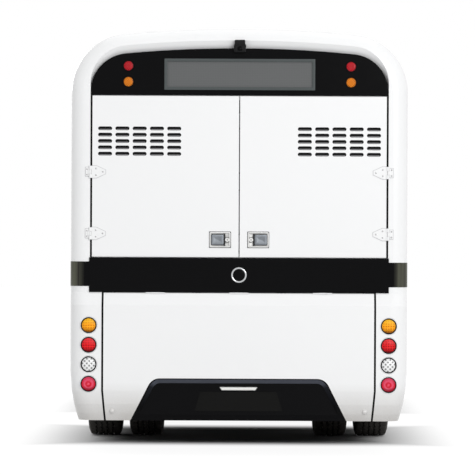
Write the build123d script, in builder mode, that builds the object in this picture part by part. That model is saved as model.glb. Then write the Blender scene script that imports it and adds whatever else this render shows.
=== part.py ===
"""Electric city bus, 10.5 m. Sizes in mm.

+Y is the front, +X the door side, +Z up, the origin is on the ground under the middle.
The body is one cross-section of tangent arcs. Every shell is that section inset twice.
"""

import os

from build123d import *

os.makedirs("parts", exist_ok=True)

# Overall sizes: the length is the wheelbase and two overhangs, the front one holding a doorway
WIDTH = 2500
ROOF_Z = 3165
SKIRT_Z = 258
HALF = WIDTH / 2
WHEELBASE = 5050
REAR_OVERHANG = 2800
ARCH_R = 560
ARM_L = 345
DOOR_SPAN = 4 * ARM_L - 2 * 40
DOOR_BEHIND_ARCH = 200
NOSE = 590
FRONT_OVERHANG = ARCH_R + DOOR_BEHIND_ARCH + DOOR_SPAN + NOSE
LENGTH = REAR_OVERHANG + WHEELBASE + FRONT_OVERHANG
REAR_Y = -LENGTH / 2
FRONT_Y = LENGTH / 2
REAR_AXLE_Y = REAR_Y + REAR_OVERHANG
FRONT_AXLE_Y = REAR_AXLE_Y + WHEELBASE

# Cross-section, all arcs tangent
CROWN_R = 9000
ROOF_CORNER_R = 430
CORNER_X = HALF - ROOF_CORNER_R
EAVE_Z = ROOF_Z - CROWN_R + ((CROWN_R - ROOF_CORNER_R) ** 2 - CORNER_X**2) ** 0.5
TUCK_R = 1100
TUCK_Z = 620
WALL = 60

# Ends of the body
REAR_FACE = REAR_Y + 45
REAR_R = 110
REAR_CAP_Y = REAR_FACE + 300
FRONT_FACE = FRONT_Y - 50
FRONT_R = 300
FRONT_BOW_R = 14000
FRONT_BOW_Z = 700
FRONT_CAP_Y = FRONT_FACE - 500
BUMPER_Z = 770
RIM = 145
RIM_STEP = 30
VISOR_H = 60
VISOR_D = 35
PANEL_T = 40
SEAT_GAP = 0.5

# Rear face
BAND_LOW = 1208
BAND_TOP = 1464
DOOR_TOP = 2663
LEDGE_Z = 1112
HATCH_HALF = HALF - 249
HATCH_FOOT = HALF - 274
GAP = 15
DOOR_GAP = 15
OPENING = HALF - RIM
LAMP_R = 57
LAMP_X = HALF - 140
LAMP_ROWS = (963, 818, 674, 529)
MARK_R = 37
MARK_X = 825
MARK_RED_Z = 2885
MARK_AMBER_Z = 2767
HINGE_ROWS = (2098, 1642)
HATCH_HINGES = (-620, 0, 620)

# Axles and wheels
TYRE_R = 479
TYRE_W = 276
RIM_R = 290
FRONT_TRACK = 1045
KINGPIN_X = 890
REAR_OUT = 1080
REAR_IN = 745
FRONT_BOX_Y = 620
REAR_BOX_Y = 570
FRONT_BOX_X = 470
REAR_BOX_X = 560
BOX_Z = 1075

# Floor and windows
FLOOR_Z = 370
FLOOR_T = 50
REAR_FLOOR_Z = 780
RISER_Y = REAR_AXLE_Y + REAR_BOX_Y + 130
BULKHEAD_Y = REAR_Y + 1200
RAIL_LOW_X = 400
SILL_Z = 1290
LINTEL_Z = 2560
WINDOW_R = 60
POST = 70
WINDOW_START = REAR_CAP_Y + 605

# Passenger doors, each leaf on a turning pillar
PILLAR_X = HALF - 90
PILLAR_R = 22
LEAF_IN = 45
LEAF_OUT = 85
LEAF_END = 46
JAMB = 32
DOORWAY_LOW = FLOOR_Z
DOORWAY_TOP = 2330
LEAF_LOW = 400
LEAF_TOP = 2296
FRONT_PILLAR = FRONT_AXLE_Y + ARCH_R + DOOR_BEHIND_ARCH
MIDDLE_PILLAR = RISER_Y + 190
DOORS = (("front", FRONT_PILLAR), ("middle", MIDDLE_PILLAR))


def outline(inset, low):
    """The cross-section's wire at one inset, down to the height low, in the current line builder."""
    side = HALF - inset
    reach = CROWN_R - ROOF_CORNER_R
    corner = ROOF_CORNER_R - inset
    end = (CORNER_X + corner * CORNER_X / reach, EAVE_Z + corner * (EAVE_Z + CROWN_R - ROOF_Z) / reach)
    half_turn = (1 + CORNER_X / reach, (EAVE_Z + CROWN_R - ROOF_Z) / reach)
    size = (half_turn[0] ** 2 + half_turn[1] ** 2) ** 0.5
    middle = (CORNER_X + corner * half_turn[0] / size, EAVE_Z + corner * half_turn[1] / size)
    foot = side
    for hand in (1, -1):
        if low < TUCK_Z:
            tuck = TUCK_R - inset
            bend = TUCK_Z - low
            foot = HALF - TUCK_R + (tuck**2 - bend**2) ** 0.5
            knee = HALF - TUCK_R + (tuck**2 - (bend / 2) ** 2) ** 0.5
            ThreePointArc((hand * foot, low), (hand * knee, TUCK_Z - bend / 2), (hand * side, TUCK_Z))
            Line((hand * side, TUCK_Z), (hand * side, EAVE_Z))
        else:
            Line((hand * side, low), (hand * side, EAVE_Z))
        ThreePointArc((hand * side, EAVE_Z), (hand * middle[0], middle[1]), (hand * end[0], end[1]))
    ThreePointArc((-end[0], end[1]), (0, ROOF_Z - inset), end)
    Line((-foot, low), (foot, low))


def section_solid(inset, back, front, low):
    """The cross-section run from one Y to another."""
    with BuildPart() as solid:
        with BuildSketch(Plane.XZ.offset(-back)):
            with BuildLine():
                outline(inset, low)
            make_face()
        extrude(amount=back - front)
    return solid.part


def rear_solid(inset, front, low):
    """The section's rear end with its rim rounded."""
    base = section_solid(inset, REAR_FACE + inset, front, low)
    with BuildPart() as solid:
        add(base)
        face = solid.faces().sort_by(Axis.Y)[0]
        fillet([edge for edge in face.edges() if edge.center().Z > low + 1], REAR_R - inset)
    return solid.part


def front_solid(inset, back, low):
    """The section's front end, bowed back towards the roof, with its rim rounded."""
    base = section_solid(inset, back, FRONT_Y + 200, low)
    face_y = FRONT_FACE - inset
    bow = FRONT_BOW_R - inset
    top = 3400
    with BuildPart() as solid:
        add(base)
        with BuildSketch(Plane.YZ):
            with BuildLine():
                low_y = face_y - bow + (bow**2 - (FRONT_BOW_Z - low) ** 2) ** 0.5
                top_y = face_y - bow + (bow**2 - (top - FRONT_BOW_Z) ** 2) ** 0.5
                mid = (low + top) / 2
                mid_y = face_y - bow + (bow**2 - (mid - FRONT_BOW_Z) ** 2) ** 0.5
                ThreePointArc((low_y, low), (mid_y, mid), (top_y, top))
                Line((top_y, top), (back, top))
                Line((back, top), (back, low))
                Line((back, low), (low_y, low))
            make_face()
        extrude(amount=HALF + 100, both=True, mode=Mode.INTERSECT)
        face = solid.faces().sort_by(Axis.Y)[-1]
        fillet([edge for edge in face.edges() if edge.center().Z > low + 1], FRONT_R - inset)
    return solid.part


def end_loft(rows, inset, hand, inner_y):
    """A bumper volume: plan outlines with round corners, joined by ruled faces. Rows hold z, half width, end and radius."""
    with BuildPart() as solid:
        for z, half, end, radius in rows:
            with BuildSketch(Plane.XY.offset(z)) as plan:
                outer = end - hand * inset
                with Locations((0, (outer + inner_y) / 2)):
                    Rectangle(2 * (half - inset), abs(outer - inner_y))
                ends = plan.vertices().sort_by(Axis.Y)
                fillet(ends[-2:] if hand > 0 else ends[:2], radius - inset)
        loft(ruled=True)
    return solid.part


def block(x0, x1, y0, y1, z0, z1, mode=Mode.ADD):
    """A box from its six faces."""
    with Locations(((x0 + x1) / 2, (y0 + y1) / 2, (z0 + z1) / 2)):
        Box(x1 - x0, y1 - y0, z1 - z0, mode=mode)


def rod(axis, start, end, at, radius, mode=Mode.ADD):
    """A round bar along X, Y or Z from start to end, with its two other coordinates in at."""
    middle = (start + end) / 2
    place = {
        "x": Location((middle, at[0], at[1]), (0, 90, 0)),
        "y": Location((at[0], middle, at[1]), (90, 0, 0)),
        "z": Location((at[0], at[1], middle)),
    }
    with Locations(place[axis]):
        Cylinder(radius, end - start, mode=mode)


def panes(start, end, count):
    """Equal windows from one place to another, with a post between neighbours."""
    width = (end - start - (count - 1) * POST) / count
    return [(start + k * (width + POST), start + k * (width + POST) + width) for k in range(count)]


def pane_sketch(rows, grow, low, top):
    """Rounded rectangles for a row of windows, seen from the side."""
    for start, end in rows:
        with Locations(((start + end) / 2, (low + top) / 2)):
            RectangleRounded(end - start + 2 * grow, top - low + 2 * grow, WINDOW_R + grow)


def save(part, name):
    """Label one piece and write its file."""
    part.label = name
    export_step(part, f"parts/{name}.step")


LEFT_WINDOWS = panes(WINDOW_START, FRONT_AXLE_Y + 800, 5) + [(FRONT_AXLE_Y + 880, FRONT_CAP_Y - 140)]
RIGHT_WINDOWS = panes(WINDOW_START, MIDDLE_PILLAR - POST, 2)
RIGHT_WINDOWS += panes(MIDDLE_PILLAR + DOOR_SPAN + POST, FRONT_PILLAR - 130, 2)

# Shared volumes
main_outer = section_solid(0, REAR_CAP_Y, FRONT_CAP_Y, SKIRT_Z)
main_inner = section_solid(WALL, REAR_CAP_Y - 10, FRONT_CAP_Y + 10, SKIRT_Z - 50)
rear_outer = rear_solid(0, REAR_CAP_Y, BAND_LOW)
rear_inner = rear_solid(WALL, REAR_CAP_Y + 50, BAND_LOW - 50)
rear_skin = rear_solid(-3, REAR_CAP_Y, BAND_LOW)
front_outer = front_solid(0, FRONT_CAP_Y, BUMPER_Z)
front_inner = front_solid(WALL, FRONT_CAP_Y - 50, BUMPER_Z - 50)
REAR_ROWS = (
    (SKIRT_Z, HALF - 61, REAR_Y + 55, 130),
    (310, HALF - 45, REAR_Y + 32, 130),
    (380, HALF - 28, REAR_Y + 12, 130),
    (480, HALF - 11, REAR_Y + 2, 130),
    (TUCK_Z, HALF, REAR_Y, 130),
    (LEDGE_Z, HALF, REAR_Y, 130),
    (BAND_LOW, HALF, REAR_FACE, REAR_R),
)
FRONT_ROWS = (
    (SKIRT_Z, HALF - 61, FRONT_Y - 50, FRONT_R),
    (330, HALF - 39, FRONT_Y - 22, FRONT_R),
    (480, HALF - 11, FRONT_Y - 4, FRONT_R),
    (TUCK_Z, HALF, FRONT_Y, FRONT_R),
    (BUMPER_Z - 60, HALF, FRONT_Y, FRONT_R),
    (BUMPER_Z, HALF, FRONT_FACE, FRONT_R),
)
SKIN = 50
rear_low_outer = end_loft(REAR_ROWS, 0, -1, REAR_CAP_Y)
rear_low_inner = end_loft(REAR_ROWS, SKIN, -1, REAR_CAP_Y + 50)
front_low_outer = end_loft(FRONT_ROWS, 0, 1, FRONT_CAP_Y)
front_low_inner = end_loft(FRONT_ROWS, SKIN, 1, FRONT_CAP_Y - 50)

# Side walls with arches, windows and doorways
for name, hand, windows in (("side_wall_left", -1, LEFT_WINDOWS), ("side_wall_right", 1, RIGHT_WINDOWS)):
    with BuildPart() as side_wall:
        add(main_outer)
        add(main_inner, mode=Mode.SUBTRACT)
        block(-HALF - 9, HALF + 9, REAR_CAP_Y, FRONT_CAP_Y, EAVE_Z, ROOF_Z + 9, Mode.SUBTRACT)
        block(min(0, -hand * 2000), max(0, -hand * 2000), -LENGTH, LENGTH, 0, 4000, Mode.SUBTRACT)
        for axle in (FRONT_AXLE_Y, REAR_AXLE_Y):
            rod("x", hand * 1500 - 500, hand * 1500 + 500, (axle, TYRE_R), ARCH_R, Mode.SUBTRACT)
            block(
                hand * 1500 - 500, hand * 1500 + 500, axle - ARCH_R, axle + ARCH_R, 100, TYRE_R, Mode.SUBTRACT
            )
        with BuildSketch(Plane.YZ):
            pane_sketch(windows, 0, SILL_Z, LINTEL_Z)
        extrude(amount=hand * 1500, mode=Mode.SUBTRACT)
        if hand > 0:
            for _, pillar in DOORS:
                back = pillar + JAMB
                front = pillar + DOOR_SPAN - JAMB
                block(1000, 1400, back, front, DOORWAY_LOW, DOORWAY_TOP - 5, Mode.SUBTRACT)
                for y in (pillar, pillar + DOOR_SPAN):
                    block(1000, HALF - WALL, y - 45, y + 45, DOORWAY_LOW, TUCK_Z + 5, Mode.SUBTRACT)
                block(1090, HALF - WALL, pillar - 100, pillar + DOOR_SPAN + 100, DOORWAY_TOP, 2480)
    save(side_wall.part, name)

with BuildPart() as roof:
    add(main_outer)
    add(main_inner, mode=Mode.SUBTRACT)
    block(-HALF - 9, HALF + 9, REAR_CAP_Y - 9, FRONT_CAP_Y + 9, 0, EAVE_Z, Mode.SUBTRACT)
save(roof.part, "roof")

with BuildPart() as rear_cap:
    add(rear_outer)
    add(rear_inner, mode=Mode.SUBTRACT)
    for inset, depth in ((RIM, PANEL_T + 1), (RIM + RIM_STEP, 2 * PANEL_T)):
        with BuildSketch(Plane.XZ.offset(-REAR_FACE + 50)):
            with BuildLine():
                outline(inset, BAND_TOP + inset - RIM)
            make_face()
        extrude(amount=-50 - depth, mode=Mode.SUBTRACT)
    with BuildSketch(Plane.XZ.offset(-REAR_FACE - VISOR_D)):
        with BuildLine():
            outline(RIM, DOOR_TOP)
        make_face()
    extrude(amount=2 * VISOR_H, dir=(0, -VISOR_D, VISOR_H), mode=Mode.SUBTRACT)
    seat = REAR_FACE + PANEL_T + 1
    block(-OPENING, OPENING, seat, seat + 40, DOOR_TOP - 30, DOOR_TOP + 40)
    for z in HINGE_ROWS:
        for hand in (1, -1):
            leaf = sorted((hand * (OPENING + 9), hand * (OPENING + 34)))
            knuckle = sorted((hand * OPENING, hand * (OPENING + 15)))
            block(*leaf, REAR_FACE - 6, REAR_FACE, z - 33, z + 33)
            block(*knuckle, REAR_FACE - 12, REAR_FACE - 2, z - 15, z + 15)
            rod("z", z - 15, z + 15, (hand * OPENING, REAR_FACE - 9), 8)
save(rear_cap.part, "rear_cap")

with BuildPart() as rear_top_panel:
    with BuildSketch(Plane.XZ.offset(-REAR_FACE - 6)):
        with BuildLine():
            outline(RIM + 3, DOOR_TOP + 6)
        make_face()
    extrude(amount=-(PANEL_T - 5))
    block(-545, 545, REAR_FACE, REAR_FACE + 12, 2708, 2940, Mode.SUBTRACT)
save(rear_top_panel.part, "rear_top_panel")

with BuildPart() as rear_band:
    add(rear_skin)
    add(rear_outer, mode=Mode.SUBTRACT)
    block(-2000, 2000, -LENGTH, 0, BAND_TOP - 30, 4000, Mode.SUBTRACT)
    block(-2000, 2000, -LENGTH, 0, 0, BAND_LOW + 44, Mode.SUBTRACT)
    block(-OPENING - 5, OPENING + 5, REAR_FACE - 8, REAR_FACE, BAND_LOW, BAND_TOP)
    for hand in (1, -1):
        block(*sorted((hand * HALF, hand * (HALF + 3))), REAR_CAP_Y, WINDOW_START, BAND_LOW + 44, BAND_TOP - 30)
    for x in HATCH_HINGES:
        rod("x", x - 30, x + 30, (REAR_FACE - 10, BAND_LOW - 5), 4.5)
        block(x - 30, x + 30, REAR_FACE - 12, REAR_FACE - 6, BAND_LOW - 5, BAND_LOW + 4)
save(rear_band.part, "rear_band")

# Lower rear: corners, lifting hatch, bumper insert
RECESS_R = 95
with BuildPart() as rear_corners:
    add(rear_low_outer)
    add(rear_low_inner, mode=Mode.SUBTRACT)
    with BuildSketch(Plane.XZ):
        with BuildLine():
            wide = HATCH_HALF + GAP
            foot = HATCH_FOOT + GAP
            Polyline((-wide, 1300), (-wide, 480), (-foot, 200), (foot, 200), (wide, 480), (wide, 1300), close=True)
        make_face()
    extrude(amount=LENGTH, mode=Mode.SUBTRACT)
    for hand in (1, -1):
        for z in LAMP_ROWS:
            rod("y", REAR_Y - 100, REAR_Y + 25, (hand * LAMP_X, z), LAMP_R + 8, Mode.SUBTRACT)
save(rear_corners.part, "rear_corners")

with BuildPart() as rear_hatch:
    add(rear_low_outer)
    add(rear_low_inner, mode=Mode.SUBTRACT)
    with BuildSketch(Plane.XZ):
        with BuildLine():
            Polyline(
                (-HATCH_HALF, BAND_LOW - 5), (-HATCH_HALF, 480), (-HATCH_FOOT, 200),
                (HATCH_FOOT, 200), (HATCH_HALF, 480), (HATCH_HALF, BAND_LOW - 5), close=True,
            )
        make_face()
    extrude(amount=LENGTH, mode=Mode.INTERSECT)
    with BuildSketch(Plane.XZ) as recess:
        with BuildLine():
            Polyline((-640, 572), (640, 572), (830, 199), (-830, 199), close=True)
        make_face()
        fillet(recess.vertices().sort_by(Axis.Y)[-2:], RECESS_R)
    extrude(amount=LENGTH, mode=Mode.SUBTRACT)
    for hand in (1, -1):
        rod("y", REAR_Y + 22, REAR_Y + 60, (hand * 935, 329), 18)
    for x in HATCH_HINGES:
        for start in (x - 71, x + 31):
            rod("x", start, start + 40, (REAR_FACE - 10, BAND_LOW - 5), 4.5)
            block(start, start + 40, REAR_FACE - 10, REAR_FACE + 10, BAND_LOW - 9.5, BAND_LOW - 5)
save(rear_hatch.part, "rear_hatch")

with BuildPart() as bumper_insert:
    with BuildSketch(Plane.XZ.offset(-REAR_Y + 20)) as tray:
        with BuildLine():
            Polyline((-640, 572), (640, 572), (830, 199), (-830, 199), close=True)
        make_face()
        fillet(tray.vertices().sort_by(Axis.Y)[-2:], RECESS_R)
    extrude(amount=-105)
    add(rear_low_outer, mode=Mode.INTERSECT)
    with BuildSketch(Plane.XZ.offset(-REAR_Y + 1)) as pocket:
        with BuildLine():
            Polyline((-634, 566), (634, 566), (848, 149), (-848, 149), close=True)
        make_face()
        fillet(pocket.vertices().sort_by(Axis.Y)[-2:], RECESS_R - 4)
    extrude(amount=-36, taper=40, mode=Mode.SUBTRACT)
    with BuildSketch(Plane.XZ.offset(-REAR_Y - 36)):
        with BuildLine():
            Polyline((-282, 472), (282, 472), (326, 330), (-326, 330), close=True)
        make_face()
    extrude(amount=7)
save(bumper_insert.part, "bumper_insert")

with BuildPart() as plate_lamp:
    block(-142, 142, REAR_Y + 15, REAR_Y + 35, 483, 509)
save(plate_lamp.part, "plate_lamp")

# Rear doors with louvres and strap hinges, and their latches
for name, hand in (("left", -1), ("right", 1)):
    with BuildPart() as rear_door:
        block(*sorted((hand * 4, hand * (OPENING - DOOR_GAP))), REAR_FACE, REAR_FACE + PANEL_T + 0.5, BAND_TOP + 6, DOOR_TOP)
        with BuildSketch(Plane.XZ.offset(-REAR_FACE)):
            with Locations((hand * 740, 2327)):
                with GridLocations(128, 47, 5, 5):
                    SlotOverall(104, 28)
        extrude(amount=-25, mode=Mode.SUBTRACT)
        for z in HINGE_ROWS:
            with BuildSketch(Plane.XZ.offset(-REAR_FACE)):
                with BuildLine():
                    Polyline(
                        (hand * (OPENING - 9), z - 45), (hand * (OPENING - 9), z + 45), (hand * (OPENING - 45), z + 45),
                        (hand * (OPENING - 113), z + 14), (hand * (OPENING - 113), z - 14),
                        (hand * (OPENING - 45), z - 45), close=True,
                    )
                make_face()
            extrude(amount=6)
            for low in (z - 45, z + 16):
                block(*sorted((hand * (OPENING - 15), hand * OPENING)), REAR_FACE - 12, REAR_FACE - 2, low, low + 29)
                rod("z", low, low + 29, (hand * OPENING, REAR_FACE - 9), 8)
        block(*sorted((hand * 60, hand * 223)), REAR_FACE - 1, REAR_FACE + 22, 1538, 1660, Mode.SUBTRACT)
    save(rear_door.part, f"rear_door_{name}")
    with BuildPart() as latch:
        block(*sorted((hand * 60.3, hand * 222.7)), REAR_FACE - 6, REAR_FACE + 22, 1538.3, 1659.7)
        block(*sorted((hand * 70, hand * 213)), REAR_FACE - 10, REAR_FACE + 4, 1548, 1650, Mode.SUBTRACT)
        block(*sorted((hand * 110, hand * 205)), REAR_FACE - 4, REAR_FACE + 10, 1560, 1638)
        rod("y", REAR_FACE - 6, REAR_FACE + 10, (hand * 86, 1599), 13)
    save(latch.part, f"door_latch_{name}")

# Lamps by colour
LAMPS = (
    ("lamps_amber", (LAMP_ROWS[0],), (MARK_AMBER_Z,)),
    ("lamps_red", (LAMP_ROWS[1], LAMP_ROWS[3]), (MARK_RED_Z,)),
    ("lamps_clear", (LAMP_ROWS[2],), ()),
)
for name, rows, marks in LAMPS:
    with BuildPart() as lamps:
        for hand in (1, -1):
            for z in rows:
                rod("y", REAR_Y - 0, REAR_Y + 25, (hand * LAMP_X, z), LAMP_R)
            for z in marks:
                rod("y", REAR_FACE - 8, REAR_FACE + 6, (hand * MARK_X, z), MARK_R)
    save(lamps.part, name)

with BuildPart() as rear_camera:
    block(-46, 46, REAR_FACE - 42, REAR_FACE, 2985, 3048)
    block(-40, 40, REAR_FACE - 1, REAR_FACE + 6, 2985, 3012)
    rod("y", REAR_FACE - 44, REAR_FACE - 40, (0, 3010), 18)
save(rear_camera.part, "rear_camera")

sign_room = front_solid(WALL + 0.3, FRONT_CAP_Y - 50, BUMPER_Z - 50)
with BuildPart() as destination_displays:
    block(-800, 800, FRONT_FACE - 330, FRONT_FACE - 290, 2600, 2840)
    for x in (-500, 500):
        block(x - 40, x + 40, FRONT_FACE - 330, FRONT_FACE - 290, 2830, 3200)
    add(sign_room, mode=Mode.INTERSECT)
    block(-544.7, 544.7, REAR_FACE + 7, REAR_FACE + 12, 2708.3, 2939.7)
save(destination_displays.part, "destination_displays")

# Front end
SCREEN_HALF = 1130
SCREEN_LOW = 1010
SCREEN_TOP = 2850
front_glass_inner = front_solid(12, FRONT_CAP_Y - 50, BUMPER_Z - 50)
front_lens_inner = end_loft(FRONT_ROWS, 20, 1, FRONT_CAP_Y - 50)

with BuildPart() as front_cap:
    add(front_outer)
    add(front_inner, mode=Mode.SUBTRACT)
    with BuildSketch(Plane.XZ.offset(-FRONT_CAP_Y - 100)):
        with Locations((0, (SCREEN_LOW + SCREEN_TOP) / 2)):
            RectangleRounded(2 * SCREEN_HALF, SCREEN_TOP - SCREEN_LOW, 120)
    extrude(amount=-1000, mode=Mode.SUBTRACT)
save(front_cap.part, "front_cap")

with BuildPart() as windscreen:
    with BuildSketch(Plane.XZ.offset(-FRONT_CAP_Y - 100)):
        with Locations((0, (SCREEN_LOW + SCREEN_TOP) / 2)):
            RectangleRounded(2 * SCREEN_HALF - 0.6, SCREEN_TOP - SCREEN_LOW - 0.6, 119.7)
    extrude(amount=-1000)
    add(front_outer, mode=Mode.INTERSECT)
    add(front_glass_inner, mode=Mode.SUBTRACT)
save(windscreen.part, "windscreen")

with BuildPart() as front_bumper:
    add(front_low_outer)
    add(front_low_inner, mode=Mode.SUBTRACT)
    for hand in (1, -1):
        with BuildSketch(Plane.XZ.offset(-FRONT_CAP_Y - 100)):
            with Locations((hand * 930, 590)):
                RectangleRounded(340, 170, 60)
        extrude(amount=-1000, mode=Mode.SUBTRACT)
save(front_bumper.part, "front_bumper")

with BuildPart() as headlamps:
    for hand in (1, -1):
        with BuildSketch(Plane.XZ.offset(-FRONT_CAP_Y - 100)):
            with Locations((hand * 930, 590)):
                RectangleRounded(339.4, 169.4, 59.7)
        extrude(amount=-1000)
    add(front_low_outer, mode=Mode.INTERSECT)
    add(front_lens_inner, mode=Mode.SUBTRACT)
save(headlamps.part, "headlamps")

with BuildPart() as mirrors:
    for hand in (1, -1):
        far = HALF + 80
        block(*sorted((hand * HALF, hand * far)), FRONT_CAP_Y + 20, FRONT_CAP_Y + 60, 2480, 2520)
        block(*sorted((hand * (far - 40), hand * far)), FRONT_CAP_Y + 20, FRONT_Y - 190, 2480, 2520)
        block(*sorted((hand * (HALF - 20), hand * (HALF + 230))), FRONT_Y - 210, FRONT_Y - 120, 2080, 2500)
    heads = [edge for edge in mirrors.edges().filter_by(Axis.Y) if edge.center().Y > FRONT_Y - 180]
    fillet([edge for edge in heads if edge.center().Z < 2400 or edge.center().Z > 2499 and edge.length > 80], 45)
save(mirrors.part, "mirrors")

with BuildPart() as wipers:
    for pivot in (-620, 250):
        rod("y", FRONT_FACE - 1.4, FRONT_FACE + 26, (pivot, 930), 22)
        block(pivot - 12, pivot + 560, FRONT_FACE + 12, FRONT_FACE + 24, 918, 942)
        block(pivot + 100, pivot + 800, FRONT_FACE + 4, FRONT_FACE + 14, 940, 962)
save(wipers.part, "wipers")

# Windows
with BuildPart() as side_windows:
    for hand, windows in ((-1, LEFT_WINDOWS), (1, RIGHT_WINDOWS)):
        with BuildSketch(Plane.YZ.offset(hand * (HALF - 13))):
            pane_sketch(windows, -0.3, SILL_Z, LINTEL_Z)
        extrude(amount=hand * 12)
save(side_windows.part, "side_windows")

# Roof unit over the middle
FAN_R = 280
UNIT_Y = (FRONT_AXLE_Y + REAR_AXLE_Y) / 2 + 425
roof_seat = section_solid(-0.3, UNIT_Y - 2000, UNIT_Y + 2000, SKIRT_Z)
with BuildPart() as roof_unit:
    block(-850, 850, UNIT_Y - 1300, UNIT_Y + 1300, 3050, 3400)
    fillet(roof_unit.edges().filter_by(Axis.Z), 120)
    fillet(roof_unit.faces().sort_by(Axis.Z)[-1].edges(), 60)
    for y in (UNIT_Y - 750, UNIT_Y, UNIT_Y + 750):
        rod("z", 3370, 3410, (0, y), FAN_R, Mode.SUBTRACT)
        rod("z", 3360, 3392, (0, y), FAN_R / 4)
    add(roof_seat, mode=Mode.SUBTRACT)
save(roof_unit.part, "roof_unit")

# Floor, wheel boxes, underframe
cabin = section_solid(WALL + 0.3, REAR_CAP_Y, FRONT_Y, SKIRT_Z - 50)
BOXES = ((FRONT_AXLE_Y, FRONT_BOX_Y, FRONT_BOX_X), (REAR_AXLE_Y, REAR_BOX_Y, REAR_BOX_X))
with BuildPart() as floor_pan:
    block(-1300, 1300, RISER_Y, FRONT_CAP_Y, FLOOR_Z - FLOOR_T, FLOOR_Z)
    block(-900, 900, FRONT_CAP_Y, FRONT_Y - 130, FLOOR_Z - FLOOR_T, FLOOR_Z)
    block(-1300, 1300, RISER_Y - FLOOR_T, RISER_Y, FLOOR_Z - FLOOR_T, REAR_FLOOR_Z)
    block(-1300, 1300, BULKHEAD_Y, RISER_Y, REAR_FLOOR_Z - FLOOR_T, REAR_FLOOR_Z)
    block(-1300, 1300, BULKHEAD_Y - FLOOR_T, BULKHEAD_Y, REAR_FLOOR_Z - FLOOR_T, 3200)
    add(cabin, mode=Mode.INTERSECT)
    for axle, half, inner in BOXES:
        for hand in (1, -1):
            block(*sorted((hand * inner, hand * 1300)), axle - half, axle + half, 200, BOX_Z, Mode.SUBTRACT)
save(floor_pan.part, "floor_pan")

with BuildPart() as wheel_boxes:
    for axle, half, inner in BOXES:
        for hand in (1, -1):
            block(*sorted((hand * inner, hand * 1300)), axle - half, axle + half, FLOOR_Z - FLOOR_T, BOX_Z)
            block(
                *sorted((hand * (inner + 25), hand * 1300)),
                axle - half + 25, axle + half - 25, 200, BOX_Z - 25, Mode.SUBTRACT,
            )
            if axle == FRONT_AXLE_Y:
                block(*sorted((hand * (inner + 10), hand * 695)), axle - 100, axle + 100, 560, 580)
            else:
                block(*sorted((hand * 500, hand * 600)), axle - 130, axle + 130, 200, 640, Mode.SUBTRACT)
    add(cabin, mode=Mode.INTERSECT)
save(wheel_boxes.part, "wheel_boxes")

JACK_ROWS = (FRONT_AXLE_Y - 1100, RISER_Y + 450)
LOW_MEMBERS = (FRONT_Y - 300, FRONT_AXLE_Y + 1000, FRONT_AXLE_Y - 2200, FRONT_AXLE_Y - 3300, *JACK_ROWS)
HIGH_MEMBERS = (REAR_AXLE_Y + 450, REAR_AXLE_Y - 550, REAR_AXLE_Y - 1550, REAR_Y + 200)
with BuildPart() as underframe:
    for hand in (1, -1):
        low_rail = sorted((hand * 380, hand * 460))
        block(*low_rail, REAR_AXLE_Y + 550, FRONT_Y - 200, 240, 320)
        block(*low_rail, REAR_AXLE_Y + 550, REAR_AXLE_Y + 645, 240, 730)
        block(*sorted((hand * 380, hand * 480)), REAR_Y + 150, REAR_AXLE_Y + 645, 640, 730)
        for y in JACK_ROWS:
            block(*sorted((hand * 360, hand * 480)), y - 60, y + 60, 225, 240)
    for y in LOW_MEMBERS:
        block(-460, 460, y - 40, y + 40, 240, 320)
    for y in HIGH_MEMBERS:
        block(-480, 480, y - 40, y + 40, 640, 730)
    block(-60, 60, FRONT_Y - 270, FRONT_Y - 110, 255, 285)
    rod("z", 200, 300, (0, FRONT_Y - 155), 25, Mode.SUBTRACT)
    block(-60, 60, REAR_Y + 70, REAR_Y + 170, 650, 680)
    rod("z", 600, 685, (0, REAR_Y + 115), 25, Mode.SUBTRACT)
save(underframe.part, "underframe")

# Axles, springs, steering
with BuildPart() as front_axle:
    block(-700, 700, FRONT_AXLE_Y - 55, FRONT_AXLE_Y + 55, 150, 235)
    for hand in (1, -1):
        block(*sorted((hand * 695, hand * 790)), FRONT_AXLE_Y - 45, FRONT_AXLE_Y + 45, 150, 550)
        block(*sorted((hand * 780, hand * KINGPIN_X)), FRONT_AXLE_Y - 40, FRONT_AXLE_Y + 40, 415, 545)
        rod("z", 410, 550, (hand * KINGPIN_X, FRONT_AXLE_Y), 45)
        rod("z", 350, 610, (hand * KINGPIN_X, FRONT_AXLE_Y), 22)
save(front_axle.part, "front_axle")

with BuildPart() as rear_axle:
    rod("x", -1000, 1000, (REAR_AXLE_Y, TYRE_R), 60)
    rod("x", -560, 560, (REAR_AXLE_Y, TYRE_R), 75)
    rod("y", REAR_AXLE_Y - 150, REAR_AXLE_Y + 150, (0, TYRE_R), 150)
    for hand in (1, -1):
        block(*sorted((hand * 385, hand * 475)), REAR_AXLE_Y - 520, REAR_AXLE_Y + 520, 330, 390)
        block(*sorted((hand * 385, hand * 475)), REAR_AXLE_Y - 80, REAR_AXLE_Y + 80, 385, 479)
save(rear_axle.part, "rear_axle")

with BuildPart() as air_springs:
    for hand in (1, -1):
        rod("z", 235, 560, (hand * 600, FRONT_AXLE_Y), 80)
        for y in (-420, 420):
            rod("z", 390, 640, (hand * 430, REAR_AXLE_Y + y), 95)
save(air_springs.part, "air_springs")

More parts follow.
